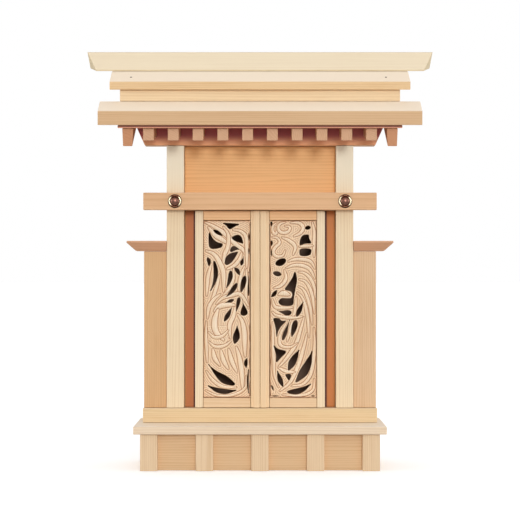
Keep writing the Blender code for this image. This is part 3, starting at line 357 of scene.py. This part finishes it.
# Painted shade and light on a board's front faces: axis, the places between which each sets in, and its
# colour
# Painted light: the columns' front faces are painted paler towards their tops, where the eaves shade them.
COLUMN_PAINTED_TOP_LIGHT = ("Z", 0.225, 0.290, (0.97, 0.87, 0.67, 1))
PAINTED_LIGHT_AND_SHADE = {
    "column_left": (COLUMN_PAINTED_TOP_LIGHT,),
    "column_right": (COLUMN_PAINTED_TOP_LIGHT,),
    # Painted warm light over the beam's front, turning to painted shade of the eaves and rafters towards
    # its top.
    "eave_beam": (
        ("Z", 0.290, 0.291, (1.0, 0.47, 0.24, 1)),
        ("Z", 0.2970, 0.3065, (0.52, 0.13, 0.13, 1)),
    ),
    # Painted warm shade on the sheathing's front edge, and a painted dark shadow line along its top under
    # the eave board.
    "sheathing": (
        ("Z", 0.300, 0.301, (0.75, 0.30, 0.18, 1)),
        ("Z", 0.3086, 0.3091, (0.18, 0.05, 0.028, 1)),
    ),
    # Painted shade on the rafter plate's front, seen between the rafters.
    "rafter_plate": (("Z", 0.290, 0.295, (0.58, 0.145, 0.165, 1)),),
    # Painted shade on the back panel's inner face, inside the shrine.
    "back_panel": (("Y", 0.0475, 0.0450, (0.24, 0.14, 0.085, 1)),),
    # Painted shade in the recesses beside the doors, with a dark painted shadow line at the doors' edges.
    "jamb_left": (
        ("X", -0.0695, -0.0680, (0.64, 0.225, 0.08, 1)),
        ("X", -0.0622, -0.0610, (0.13, 0.038, 0.028, 1)),
    ),
    "jamb_right": (
        ("X", 0.0695, 0.0675, (0.73, 0.27, 0.08, 1)),
        ("X", 0.0628, 0.0614, (0.12, 0.034, 0.024, 1)),
    ),
}
# Each board is cut from another place in the wood: steps from board to board, and the spans they wrap round
CUT_STEP = (0.137, 0.071, 0.113)
CUT_SPAN = (1.7, 0.9, 1.3)
PANEL_CUT = (0.31, 0.17, 0.43)


def tone_of(name):
    """A board's light colour, its dark colour, and how far painted light pales its upward faces."""
    colour, top_light_share = next(row[1:] for row in TONES if name.startswith(row[0]))
    dark = [value * share for value, share in zip(colour, DARKER)]
    return (*colour, 1), (*dark, 1), top_light_share


def grain_of(name):
    return next((axis for axis, stems in GRAIN.items() if name.startswith(stems)), "X")


def dress_boards():
    for number, (name, node) in enumerate(sorted(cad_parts.items())):
        if name.startswith(("stud", "carved")):
            continue
        light, dark, top_light_share = tone_of(name)
        offset = tuple(step * number % span for step, span in zip(CUT_STEP, CUT_SPAN))
        node.data.materials.clear()
        node.data.materials.append(wood(f"wood_{name}", grain_of(name), light, dark, offset, top_light_share,
                                        painted_marks=PAINTED_LIGHT_AND_SHADE.get(name, ())))


# Carved panels, in millimetres: the plate behind the relief, and the spacing of the places on it
PLATE_THICKNESS = 5.0
GRID_STEP = 0.32
# Strokes as drawn on a panel of this size, from its lower left: width, then the points on the way
DRAWN_SIZE = (43.5, 163.5)
# Left panel: a bird at mid height looks right, its tail streams up and its wings hang down
LEFT_STROKES = [
    (4.0, [(1.4, 162.0), (9.2, 158.2), (19.5, 151.5), (30.5, 141.0), (37.7, 135.2), (40.0, 125.6)]),
    (3.4, [(27.6, 154.8), (34.0, 153.8), (39.1, 149.0), (40.0, 138.3), (40.2, 120.0)]),
    (4.4, [(4.6, 157.2), (10.6, 150.3), (16.6, 146.3), (23.0, 142.0)]),
    (3.4, [(18.4, 157.5), (22.8, 150.5), (22.6, 139.5), (19.5, 132.0), (17.5, 118.2)]),
    (4.2, [(2.4, 135.4), (9.3, 132.6), (14.6, 125.6), (18.3, 115.3), (18.6, 98.0)]),
    (3.2, [(7.4, 123.6), (4.4, 113.4), (3.4, 104.3), (2.8, 94.3)]),
    (3.0, [(14.8, 113.5), (12.6, 104.3), (9.4, 94.0), (6.4, 86.8)]),
    (3.2, [(35.4, 133.8), (33.2, 127.3), (28.5, 121.9), (21.6, 118.6)]),
    (2.8, [(27.9, 119.4), (27.6, 109.7), (24.0, 101.0), (17.6, 93.4)]),
    (3.0, [(37.9, 121.0), (35.4, 114.5), (33.2, 105.3), (32.6, 96.1)]),
    (2.8, [(39.6, 118.2), (40.2, 104.3), (39.2, 95.2), (41.6, 82.3)]),
    (3.4, [(11.9, 86.5), (18.4, 92.2), (25.8, 94.3), (33.8, 95.2), (41.8, 84.3)]),
    (4.8, [(10.1, 79.6), (15.0, 84.0), (21.4, 85.6), (29.0, 85.2)]),
    (3.0, [(3.7, 73.1), (5.1, 83.3), (9.6, 90.6), (15.6, 95.4)]),
    (5.4, [(13.4, 81.6), (10.4, 71.4), (11.4, 61.2), (18.6, 52.9)]),
    (3.8, [(29.2, 83.3), (28.0, 75.9), (24.2, 66.6), (24.8, 54.7)]),
    (4.4, [(31.8, 76.7), (35.8, 70.4), (37.9, 60.2), (38.2, 48.2), (38.6, 38.1)]),
    (2.8, [(2.4, 70.1), (2.2, 56.4), (2.8, 42.8), (3.4, 32.6)]),
    (2.8, [(4.7, 60.3), (10.1, 55.6), (17.5, 56.8), (23.0, 62.0)]),
    (2.8, [(4.7, 51.5), (11.0, 46.9), (19.3, 47.8), (25.8, 52.4)]),
    (3.8, [(8.6, 44.6), (10.4, 36.4), (15.0, 29.6)]),
    (3.8, [(16.0, 43.7), (18.4, 34.6), (22.9, 26.4)]),
    (3.8, [(23.3, 44.6), (26.2, 33.6), (31.0, 23.4)]),
    (4.4, [(30.4, 46.5), (33.6, 35.4), (35.6, 22.5), (36.2, 7.7)]),
    (2.8, [(2.6, 24.4), (8.8, 15.8), (18.4, 9.8), (30.4, 9.4)]),
    (2.4, [(2.0, 6.4), (12.0, 1.9), (26.0, 1.9), (38.6, 8.8), (39.6, 20.0)]),
]

# Right panel: cloud scrolls above, a wing fans out at the right, and tail plumes loop down
RIGHT_STROKES = [
    (2.4, [(6.2, 161.4), (2.9, 158.2), (2.8, 153.6), (5.2, 151.0), (7.1, 154.1), (5.4, 157.3)]),
    (2.8, [(14.4, 162.0), (9.0, 160.0), (8.0, 155.5), (11.4, 152.3), (17.2, 153.2), (18.6, 157.4),
           (14.4, 158.4)]),
    (3.0, [(19.6, 161.4), (27.3, 161.2), (31.0, 157.2), (28.4, 151.9), (22.6, 149.0)]),
    (3.0, [(39.6, 161.8), (41.4, 153.2), (41.2, 141.1), (41.2, 130.1)]),
    (2.8, [(2.6, 148.1), (7.1, 147.2), (9.2, 143.1), (5.4, 139.0), (3.2, 134.4), (6.2, 130.4),
           (11.9, 131.0), (14.4, 135.7)]),
    (3.2, [(11.7, 147.7), (18.1, 144.9), (23.6, 139.4), (21.8, 132.0)]),
    (2.4, [(27.4, 139.3), (33.4, 139.8), (40.2, 140.2)]),
    (3.0, [(17.3, 125.6), (22.7, 127.4), (30.1, 127.6), (38.0, 125.5), (42.0, 119.1)]),
    (3.0, [(15.4, 119.5), (21.8, 121.9), (30.1, 121.9), (37.4, 118.2), (41.8, 109.9)]),
    (2.8, [(27.0, 115.9), (31.9, 115.0), (37.4, 110.4), (41.4, 101.7), (42.0, 90.6)]),
    (2.8, [(27.6, 109.0), (32.8, 107.2), (37.4, 100.7), (40.2, 90.6), (41.4, 77.7)]),
    (2.8, [(27.0, 102.4), (31.2, 99.8), (34.9, 92.5), (37.9, 81.4), (39.3, 67.6)]),
    (2.8, [(25.6, 96.8), (29.8, 93.0), (33.2, 84.3), (35.6, 70.4), (36.5, 55.7)]),
    (2.6, [(24.6, 92.6), (23.8, 84.3), (22.4, 76.5), (18.8, 73.7)]),
    (3.0, [(13.8, 117.7), (15.0, 109.8), (10.4, 103.4), (3.8, 101.0)]),
    (4.6, [(8.4, 94.9), (12.8, 96.2), (18.2, 94.8)]),
    (2.8, [(2.5, 90.8), (5.2, 83.7), (12.6, 82.8), (21.4, 82.9)]),
    (2.8, [(2.4, 79.0), (5.8, 76.0), (13.6, 74.2), (21.8, 73.6), (30.1, 74.5)]),
    (3.2, [(31.9, 74.1), (28.2, 61.0), (24.3, 49.4), (15.9, 36.6), (8.0, 27.6)]),
    (3.4, [(34.7, 59.4), (31.9, 47.4), (27.8, 33.4), (24.2, 24.3), (18.6, 13.8), (9.6, 6.2)]),
    (3.0, [(23.4, 23.5), (15.6, 24.2), (8.6, 27.4)]),
    (3.2, [(41.1, 64.0), (41.8, 49.2), (40.6, 34.4), (37.6, 20.5), (30.8, 12.4), (20.6, 10.6)]),
    (2.8, [(3.0, 69.4), (2.9, 57.4), (3.0, 46.5), (3.7, 33.6), (4.4, 20.6), (8.2, 9.5)]),
    (2.6, [(16.3, 70.0), (11.4, 62.0), (8.9, 53.7), (10.8, 47.8), (19.1, 46.5), (25.5, 50.1)]),
    (2.4, [(21.0, 71.4), (18.6, 61.1), (16.3, 51.9)]),
    (2.4, [(41.4, 17.0), (40.0, 6.8), (30.4, 2.2), (12.0, 2.4)]),
]

# Outline of the bird's breast on the left panel, which is covered in small feathers
BREAST = [(3.5, 66.5), (7.0, 49.8), (20.5, 48.8), (23.6, 57.0), (21.8, 66.0)]

# Curves: steps between two of the given points, the fewest steps of a curve, and a stroke's spacing
CURVE_STEPS = 12
FEWEST_STEPS = 4
STROKE_SPACING = 0.9


def smooth_line(points, spacing, closed=False):
    """Points a given spacing apart along a smooth curve through the given points."""
    points = np.array(points, float)
    if closed:
        padded = np.vstack([points[-1:], points, points[:2]])
    else:
        padded = np.vstack([2 * points[0] - points[1], points, 2 * points[-1] - points[-2]])
    share = (np.arange(CURVE_STEPS) / CURVE_STEPS)[:, None]
    dense = []
    for before, start, end, after in zip(padded, padded[1:], padded[2:], padded[3:]):
        chord = np.hypot(*(end - start))
        leave = (end - before) * chord / np.hypot(*(end - before))
        arrive = (after - start) * chord / np.hypot(*(after - start))
        dense.append(start * (1 + 2 * share) * (1 - share) ** 2 + end * (3 - 2 * share) * share ** 2
                     + leave * share * (1 - share) ** 2 - arrive * (1 - share) * share ** 2)
    dense = np.vstack([*dense, points[:1] if closed else points[-1:]])
    travelled = np.concatenate([[0], np.cumsum(np.hypot(*np.diff(dense, axis=0).T))])
    steps = max(int(round(travelled[-1] / spacing)), FEWEST_STEPS)
    wanted = np.linspace(0, travelled[-1], steps + 1)
    line = np.column_stack([np.interp(wanted, travelled, dense[:, axis]) for axis in (0, 1)])
    return line[:-1] if closed else line


def near_line(places, line):
    """Distance of each place from a line, positive to its left, the way along the line, and its length."""
    nearest = np.full(len(places), np.inf)
    along = np.zeros(len(places))
    side = np.ones(len(places))
    travelled = 0.0
    for start, end in zip(line, line[1:]):
        step = end - start
        length = np.hypot(*step)
        offset = places - start
        share = np.clip(offset @ step / length ** 2, 0, 1)
        distance = np.hypot(*(offset - share[:, None] * step).T)
        closer = distance < nearest
        nearest[closer] = distance[closer]
        along[closer] = travelled + share[closer] * length
        side[closer] = np.where(step[0] * offset[closer, 1] < step[1] * offset[closer, 0], -1, 1)
        travelled += length
    return nearest * side, along, travelled


def inside(places, outline):
    """True for the places inside a closed outline."""
    found = np.zeros(len(places), bool)
    near = np.flatnonzero(((places > outline.min(0)) & (places < outline.max(0))).all(1))
    x, y = places[near].T
    odd = np.zeros(len(near), bool)
    for (x0, y0), (x1, y1) in zip(outline, np.roll(outline, -1, axis=0)):
        if y0 != y1:
            odd ^= ((y0 > y) != (y1 > y)) & (x < x0 + (y - y0) / (y1 - y0) * (x1 - x0))
    found[near] = odd
    return found


def ease(value, low, high):
    """Smooth step from 0 at the low value to 1 at the high one."""
    share = np.clip((value - low) / (high - low), 0, 1)
    return share * share * (3 - 2 * share)


def gouge(distance, width):
    """Depth of a narrow groove: 1 in its middle, and almost none at twice its width."""
    return np.exp(-(distance / width) ** 2)


# Openings: how flat the panel's back has to be, the digits kept of a place, and how much narrower than the
# panel an opening is at least
BACK_TOLERANCE = 0.01 * MM
PLACE_DIGITS = 3
SIDE_FRAME = 0.1


def panel_openings(name, low, high):
    """Outlines of the openings in a CAD panel's flat back, in millimetres from its lower left."""
    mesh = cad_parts[name].data
    edges = set()
    for polygon in mesh.polygons:
        corners = [mesh.vertices[index].co for index in polygon.vertices]
        if all(abs(corner.y - high.y) < BACK_TOLERANCE for corner in corners):
            loop = [tuple(round(far / MM, PLACE_DIGITS) for far in (corner.x - low.x, corner.z - low.z))
                    for corner in corners]
            for start, end in zip(loop, loop[1:] + loop[:1]):
                if (end, start) in edges:
                    edges.remove((end, start))
                else:
                    edges.add((start, end))
    following = dict(sorted(edges))
    outlines = []
    while following:
        outline = [next(iter(following))]
        while outline[-1] in following:
            outline.append(following.pop(outline[-1]))
        outlines.append(np.array(outline[:-1]))
    width = (high.x - low.x) / MM
    return [outline for outline in outlines if np.ptp(outline[:, 0]) < width - SIDE_FRAME]


# Grid: its rows shift right and left in turn by this share of a step, and it stays this far from the rim
ROW_SHIFT = 0.25
RIM_CLEARANCE = 0.6 * GRID_STEP
SAME_PLACE = 1e-7


def panel_grid(size, openings):
    """Places over a panel, border then openings first, their two counts, and both sides' triangles."""
    corners = np.array([(0, 0), (size[0], 0), size, (0, size[1])])
    border = []
    for start, end in zip(corners, np.roll(corners, -1, axis=0)):
        count = int(round(np.abs(end - start).max() / GRID_STEP))
        border += [start + (end - start) * step / count for step in range(count)]
    contours = [np.array(border)] + openings
    rim = np.vstack(contours)
    edges = []
    for contour in contours:
        first, count = len(edges), len(contour)
        edges += [(first + step, first + (step + 1) % count) for step in range(count)]

    columns, rows = np.ceil(size / GRID_STEP).astype(int)
    grid = np.array([(column + ROW_SHIFT * (-1) ** row, row) for row in range(1, rows)
                     for column in range(1, columns)]) * size / (columns, rows)
    for opening in openings:
        grid = grid[~inside(grid, opening)]
    grid = grid[gap_to(rim, grid) > RIM_CLEARANCE]

    def filled(points):
        points = [Vector(point) for point in points]
        corners, _, faces, *_ = delaunay_2d_cdt(points, edges, [], 0, SAME_PLACE)
        faces = np.array(faces)
        middles = np.array([tuple(corner) for corner in corners])[faces].mean(1)
        hole = np.zeros(len(faces), bool)
        for opening in openings:
            hole |= inside(middles, opening)
        return faces[~hole]

    places = np.vstack([rim, grid])
    return places, len(border), len(rim), filled(places), filled(rim)


def gap_to(line, places):
    """Distance from each place to the nearest of a line's points."""
    tree = KDTree(len(line))
    for index, point in enumerate(line):
        tree.insert((*point, 0), index)
    tree.balance()
    return np.array([tree.find((*point, 0))[2] for point in places])


# Relief, in millimetres over the plate's face
# Ground between the strokes: its height, and the swell that echoes them
GROUND = -0.62
SWELL = 0.34
SWELL_PITCH = 1.6
# Small feathers: their size, how slim each one's bulge is, where along it the bulge lies, and its height
FEATHER_LENGTH = 1.9
FEATHER_WIDTH = 2.1
FEATHER_SLIMNESS = 1.7
FEATHER_MIDDLE = 0.35
FEATHER_LOW = -0.5
FEATHER_RISE = 0.75
FEATHER_ROUNDING = 0.7
# Strokes: the width of their ends as a share of the full one, their swelling, and their section, which
# rises more the wider a stroke is and leans to one side
STROKE_END = 0.3
STROKE_SWELLING = 0.8
STROKE_LOW = -0.3
STROKE_RISE = 0.4
STROKE_RISE_PER_HALF_WIDTH = 0.42
STROKE_ROUNDING = 0.42
STROKE_LEAN = 0.3
# The line along a stroke's middle
SHAFT_DEPTH = 0.34
SHAFT_WIDTH = 0.26
# Broad strokes are cut into barbs, which slant back from the middle. The others have a line on each side
BROAD_WIDTH = 3.1
BARB_DEPTH = 0.32
BARB_SLANT = 1.4
BARB_PITCH = 1.25
BARB_START = (0.08, 0.3)
SIDE_LINE_DEPTH = 0.22
SIDE_LINE_PLACE = 0.55
SIDE_LINE_WIDTH = 0.22
# The hollow round a stroke, and the distances from the stroke's edge between which it and the stroke end
HOLLOW_DEPTH = 1.0
HOLLOW_END = (0.1, 0.9)
STROKE_EDGE = (-0.16, 0.24)


def feathers(places):
    """Height of small feathers in rows, each row shifted by half a feather."""
    row = places[:, 1] / FEATHER_LENGTH
    across = (places[:, 0] / FEATHER_WIDTH + 0.5 * (np.floor(row) % 2)) % 1 - 0.5
    bulge = 1 - np.hypot(across * FEATHER_SLIMNESS, (row % 1) - FEATHER_MIDDLE)
    return FEATHER_LOW + FEATHER_RISE * np.clip(bulge, 0, 1) ** FEATHER_ROUNDING


def relief(places, strokes, breast):
    """Height of the carving over the plate's face, in millimetres."""
    laid = []
    nearest = np.full(len(places), np.inf)
    for width, points in strokes:
        distance, along, length = near_line(places, smooth_line(points, STROKE_SPACING))
        swelling = np.sin(np.pi * np.minimum(along / length, 1)).clip(0) ** STROKE_SWELLING
        half = width / 2 * (STROKE_END + (1 - STROKE_END) * swelling)
        laid.append((distance, along, half, width))
        nearest = np.minimum(nearest, np.abs(distance) - half)
    height = GROUND + SWELL * np.cos(np.pi * nearest / SWELL_PITCH) ** 2
    if breast:
        within = inside(places, np.array(breast))
        height[within] = feathers(places[within])
    for distance, along, half, width in laid:
        reach = np.minimum(np.abs(distance) / half, 1)
        outside = np.abs(distance) - half
        rise = STROKE_RISE + STROKE_RISE_PER_HALF_WIDTH * half
        blade = STROKE_LOW + rise * (1 - reach ** 2) ** STROKE_ROUNDING
        blade += STROKE_LEAN * np.clip(distance / half, -1, 1) - SHAFT_DEPTH * gouge(distance, SHAFT_WIDTH)
        if width > BROAD_WIDTH:
            slanted = along - BARB_SLANT * np.abs(distance)
            barbs = 0.5 + 0.5 * np.cos(2 * np.pi * slanted / BARB_PITCH)
            blade -= BARB_DEPTH * barbs * ease(reach, *BARB_START)
        else:
            blade -= SIDE_LINE_DEPTH * gouge(np.abs(distance) - SIDE_LINE_PLACE * half, SIDE_LINE_WIDTH)
        beside = ease(outside, *HOLLOW_END)
        around = height * beside - HOLLOW_DEPTH * (1 - beside)
        edge = ease(outside, *STROKE_EDGE)
        height = blade * (1 - edge) + around * edge
    return height


def beside_mean(height, faces):
    """Mean height of the places that share an edge with each place."""
    total = np.zeros(len(height))
    count = np.zeros(len(height))
    for this, other in ((0, 1), (1, 2), (2, 0), (1, 0), (2, 1), (0, 2)):
        np.add.at(total, faces[:, this], height[faces[:, other]])
        np.add.at(count, faces[:, this], 1)
    return total / count


# How far each place is drawn to its neighbours' height, and the drops at the openings and the border
SOFTENING = 0.5
OPENING_DROP = 0.9
OPENING_REACH = 1.1
BORDER_DROP = 0.5
BORDER_REACH = (0.2, 1.2)
# The groove along the panel's edge at the doors' middle: its depth, its width, the two waves of its width
# with their lengths over 2 pi, its floor's share of the width, its slope, and how far it stays off the
# panel's bottom and top
SEAM_DEPTH = 2.6
SEAM_WIDTH = 0.55
LONG_WAVE = 0.28
LONG_WAVE_LENGTH = 4.3
SHORT_WAVE = 0.22
SHORT_WAVE_LENGTH = 1.7
SHORT_WAVE_START = 1.0
SEAM_FLOOR = 0.6
SEAM_SLOPE = 0.35
SEAM_BOTTOM = 1
SEAM_TOP = 3
# Painted shading of the carving: low for painted shade in grooves, along the border and behind, high for
# painted highlights on ridges, raised parts and the openings' rims
PALE_GROUND = 0.5
PALE_RIDGE = 0.3
RIDGE_HEIGHT = 0.09
PALE_BY_HEIGHT = 0.22
PALE_OPENING = 0.3
PALE_OPENING_REACH = (0.3, 1.0)
PALE_BORDER = 0.55
PALE_BORDER_REACH = (0.1, 0.9)
PALE_BACK = 0.25


def seam(from_middle, upwards, top):
    """Depth of the wavy groove along the panel's edge at the doors' middle."""
    width = (SEAM_WIDTH + LONG_WAVE * np.sin(upwards / LONG_WAVE_LENGTH)
             + SHORT_WAVE * np.sin(upwards / SHORT_WAVE_LENGTH + SHORT_WAVE_START))
    depth = SEAM_DEPTH * (1 - ease(from_middle, SEAM_FLOOR * width, width + SEAM_SLOPE))
    return depth * (upwards > SEAM_BOTTOM) * (upwards < top - SEAM_TOP)


def painted_shading_of(height, faces, to_opening, to_border):
    """Painted shading: highlights on ridges, raised parts and the openings' rims, shade in hollows and at
    the border.
    """
    ridge = np.clip((height - beside_mean(height, faces)) / RIDGE_HEIGHT, -1, 1)
    painted_shading = PALE_GROUND + PALE_RIDGE * ridge + PALE_BY_HEIGHT * height
    painted_shading += PALE_OPENING * (1 - ease(to_opening, *PALE_OPENING_REACH))
    return painted_shading * (PALE_BORDER + (1 - PALE_BORDER) * ease(to_border, *PALE_BORDER_REACH))


def carve(side, strokes, breast=()):
    """One pierced panel as a closed mesh, with fine relief in front and flat behind."""
    name = f"carved_panel_{side}"
    low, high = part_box(name)
    size = np.array([high.x - low.x, high.z - low.z]) / MM
    stretch = size / DRAWN_SIZE
    openings = [smooth_line(opening, GRID_STEP, closed=True) for opening in panel_openings(name, low, high)]
    places, border, rim, front, back = panel_grid(size, openings)
    height = relief(places, [(width, np.array(points) * stretch) for width, points in strokes], breast)
    height += SOFTENING * (beside_mean(height, front) - height)
    to_opening = gap_to(places[border:rim], places)
    to_border = gap_to(places[:border], places)
    height -= OPENING_DROP * (1 - np.clip(to_opening / OPENING_REACH, 0, 1)) ** 2
    height -= BORDER_DROP * (1 - ease(to_border, *BORDER_REACH))
    from_middle = places[:, 0] if side == "right" else size[0] - places[:, 0]
    height -= seam(from_middle, places[:, 1], size[1])

    face = high.y / MM - PLATE_THICKNESS
    points = np.column_stack([low.x / MM + places[:, 0], face - height, low.z / MM + places[:, 1]])
    behind = points[:rim].copy()
    behind[:, 1] = high.y / MM
    edges = {tuple(edge) for edge in np.vstack([front[:, [0, 1]], front[:, [1, 2]], front[:, [2, 0]]])}
    walls = [(end, start, start + len(points), end + len(points))
             for start, end in sorted(edges) if (end, start) not in edges]
    mesh = bpy.data.meshes.new(name)
    faces = front.tolist() + (back[:, ::-1] + len(points)).tolist() + walls
    mesh.from_pydata(np.vstack([points, behind]) * MM, [], faces)
    smooth_shading(mesh)
    # Painted shading: highlights and shade over the relief, and painted shade over the back and the
    # openings' walls.
    painted_shading = np.concatenate([painted_shading_of(height, front, to_opening, to_border), np.full(rim, PALE_BACK)])
    mesh.attributes.new("painted_shading", "FLOAT", "POINT").data.foreach_set("value", painted_shading.astype(np.float32))
    light, dark, _ = tone_of(name)
    mesh.materials.append(wood(f"wood_{name}", "Z", light, dark, PANEL_CUT, carved=True))
    panel = add(f"{name}_relief", mesh)
    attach(panel, f"door_{side}")
    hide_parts(name)


# Studs and nails: profiles as radius and height in millimetres, from the middle outwards
STUD_PROFILE = [
    (0.0, 2.6), (0.6, 2.57), (1.2, 2.48), (1.9, 2.3), (2.6, 2.02), (3.15, 1.68), (3.6, 1.28), (3.85, 0.9),
    (4.0, 0.62), (4.15, 0.56), (4.3, 0.66), (4.5, 0.86), (4.8, 0.98), (5.15, 1.0), (5.5, 0.9), (5.8, 0.7),
    (5.95, 0.46), (6.1, 0.42), (6.22, 0.36), (6.28, 0.2), (6.3, 0.0),
]
NAIL_PROFILE = [(0.0, 0.5), (0.4, 0.47), (0.75, 0.36), (0.95, 0.2), (1.0, 0.0)]
TURN_STEPS = 48
# A stud's colours, with a painted reflection on the rim, the radii between which its dome ends and its rim
# starts and ends, how far sideways the painted reflection turns the rim bright, and its patina
STUD_DARK = (0.045, 0.018, 0.012, 1)
STUD_DOME = (0.30, 0.14, 0.10, 1)
STUD_RIM_PAINTED_GLINT = (0.93, 0.78, 0.52, 1)
STUD_RIM_DARK_REFLECTION = (0.16, 0.06, 0.03, 1)
DOME_END = (3.6 * MM, 4.0 * MM)
RIM_START = (4.2 * MM, 4.5 * MM)
RIM_END = (5.6 * MM, 6.0 * MM)
PAINTED_GLINT_SIDES = (0.55, 0.85)
PATINA = (900.0, 4.0, 0.6)
PATINA_RANGE = (0.45, 0.75)
PATINA_SHARE = 0.5
BRASS_METALLIC = 0.85
BRASS_ROUGHNESS = 0.18
BRASS_ROUGHNESS_SWING = 0.3
# Where each nail stands, from above, and its iron
NAILS = {"left": (-0.1176, -0.0216), "right": (0.1148, -0.0216)}
ABOVE_ALL = 1.0
NAIL_SINK = 0.1 * MM
IRON_RUST = (0.10, 0.055, 0.03, 1)
IRON_DARK = (0.03, 0.02, 0.015, 1)
RUST = (1500.0, 3.0, 0.5)
IRON_METALLIC = 0.6
IRON_ROUGHNESS = 0.55


def turned(name, profile, place, material):
    """A closed round form whose axis points at the viewer: radius and height in millimetres."""
    points = []
    starts = []
    for radius, height in profile:
        starts.append(len(points))
        for step in range(TURN_STEPS if radius else 1):
            angle = 2 * math.pi * step / TURN_STEPS
            points.append((radius * math.cos(angle) * MM, -height * MM, radius * math.sin(angle) * MM))
    faces = [(0, 1 + step, 1 + (step + 1) % TURN_STEPS) for step in range(TURN_STEPS)]
    for first, second in zip(starts[1:], starts[2:]):
        for step in range(TURN_STEPS):
            after = (step + 1) % TURN_STEPS
            faces.append((first + step, second + step, second + after, first + after))
    faces.append(tuple(starts[-1] + step for step in reversed(range(TURN_STEPS))))
    mesh = bpy.data.meshes.new(name)
    mesh.from_pydata(points, [], faces)
    smooth_shading(mesh)
    mesh.materials.append(material)
    made = add(name, mesh)
    made.location = place
    return made


def stud_metal(name):
    """Brass with patina: brown dome, dark grooves, and a rim with a painted reflection, bright at its sides
    only.
    """
    graph, shader = new_material(name)
    x = graph.axis("Object", "X")
    radius = graph.length(x, graph.axis("Object", "Z"))
    patina = graph.noise(graph.coordinate("Object"), *PATINA)
    # Painted reflection: the rim is painted bright where it faces left and right, and dark above and below.
    sideways = graph.math("DIVIDE", graph.math("ABSOLUTE", x), radius)
    rim = graph.mix(graph.smooth(sideways, *PAINTED_GLINT_SIDES), STUD_RIM_DARK_REFLECTION, STUD_RIM_PAINTED_GLINT)
    colour = graph.mix(graph.smooth(radius, *DOME_END), STUD_DOME, STUD_DARK)
    colour = graph.mix(graph.smooth(radius, *RIM_START), colour, rim)
    colour = graph.mix(graph.smooth(radius, *RIM_END), colour, STUD_DARK)
    spots = graph.math("MULTIPLY", graph.smooth(patina, *PATINA_RANGE), PATINA_SHARE)
    swing = graph.math("MULTIPLY", patina, BRASS_ROUGHNESS_SWING)
    graph.feed(shader, {
        "Base Color": graph.mix(spots, colour, STUD_DARK),
        "Metallic": BRASS_METALLIC,
        "Roughness": graph.math("ADD", swing, BRASS_ROUGHNESS),
    })
    return graph.owner


def fit_stud(side):
    low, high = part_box(f"stud_{side}")
    place = ((low.x + high.x) / 2, high.y, (low.z + high.z) / 2)
    stud = turned(f"stud_{side}_turned", STUD_PROFILE, place, stud_metal(f"brass_{side}"))
    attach(stud, "shrine")
    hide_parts(f"stud_{side}")


def fit_nail(side, x, y):
    """A small dark nail head, set square on the upper roof board's slope."""
    _, place, normal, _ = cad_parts["upper_roof_board"].ray_cast((x, y, ABOVE_ALL), (0, 0, -1))
    graph, shader = new_material(f"iron_{side}")
    graph.feed(shader, {
        "Base Color": graph.mix(graph.noise(graph.coordinate("Object"), *RUST), IRON_RUST, IRON_DARK),
        "Metallic": IRON_METALLIC,
        "Roughness": IRON_ROUGHNESS,
    })
    nail = turned(f"nail_{side}", NAIL_PROFILE, place - normal * NAIL_SINK, graph.owner)
    nail.rotation_euler = normal.to_track_quat("-Y", "Z").to_euler()
    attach(nail, "shrine")


make_camera()
make_light()
make_floor()
dress_boards()
fit_stud("left")
fit_stud("right")
for nail_side, nail_place in NAILS.items():
    fit_nail(nail_side, *nail_place)
carve("left", LEFT_STROKES, BREAST)
carve("right", RIGHT_STROKES)

bpy.context.scene.view_settings.view_transform = "Standard"
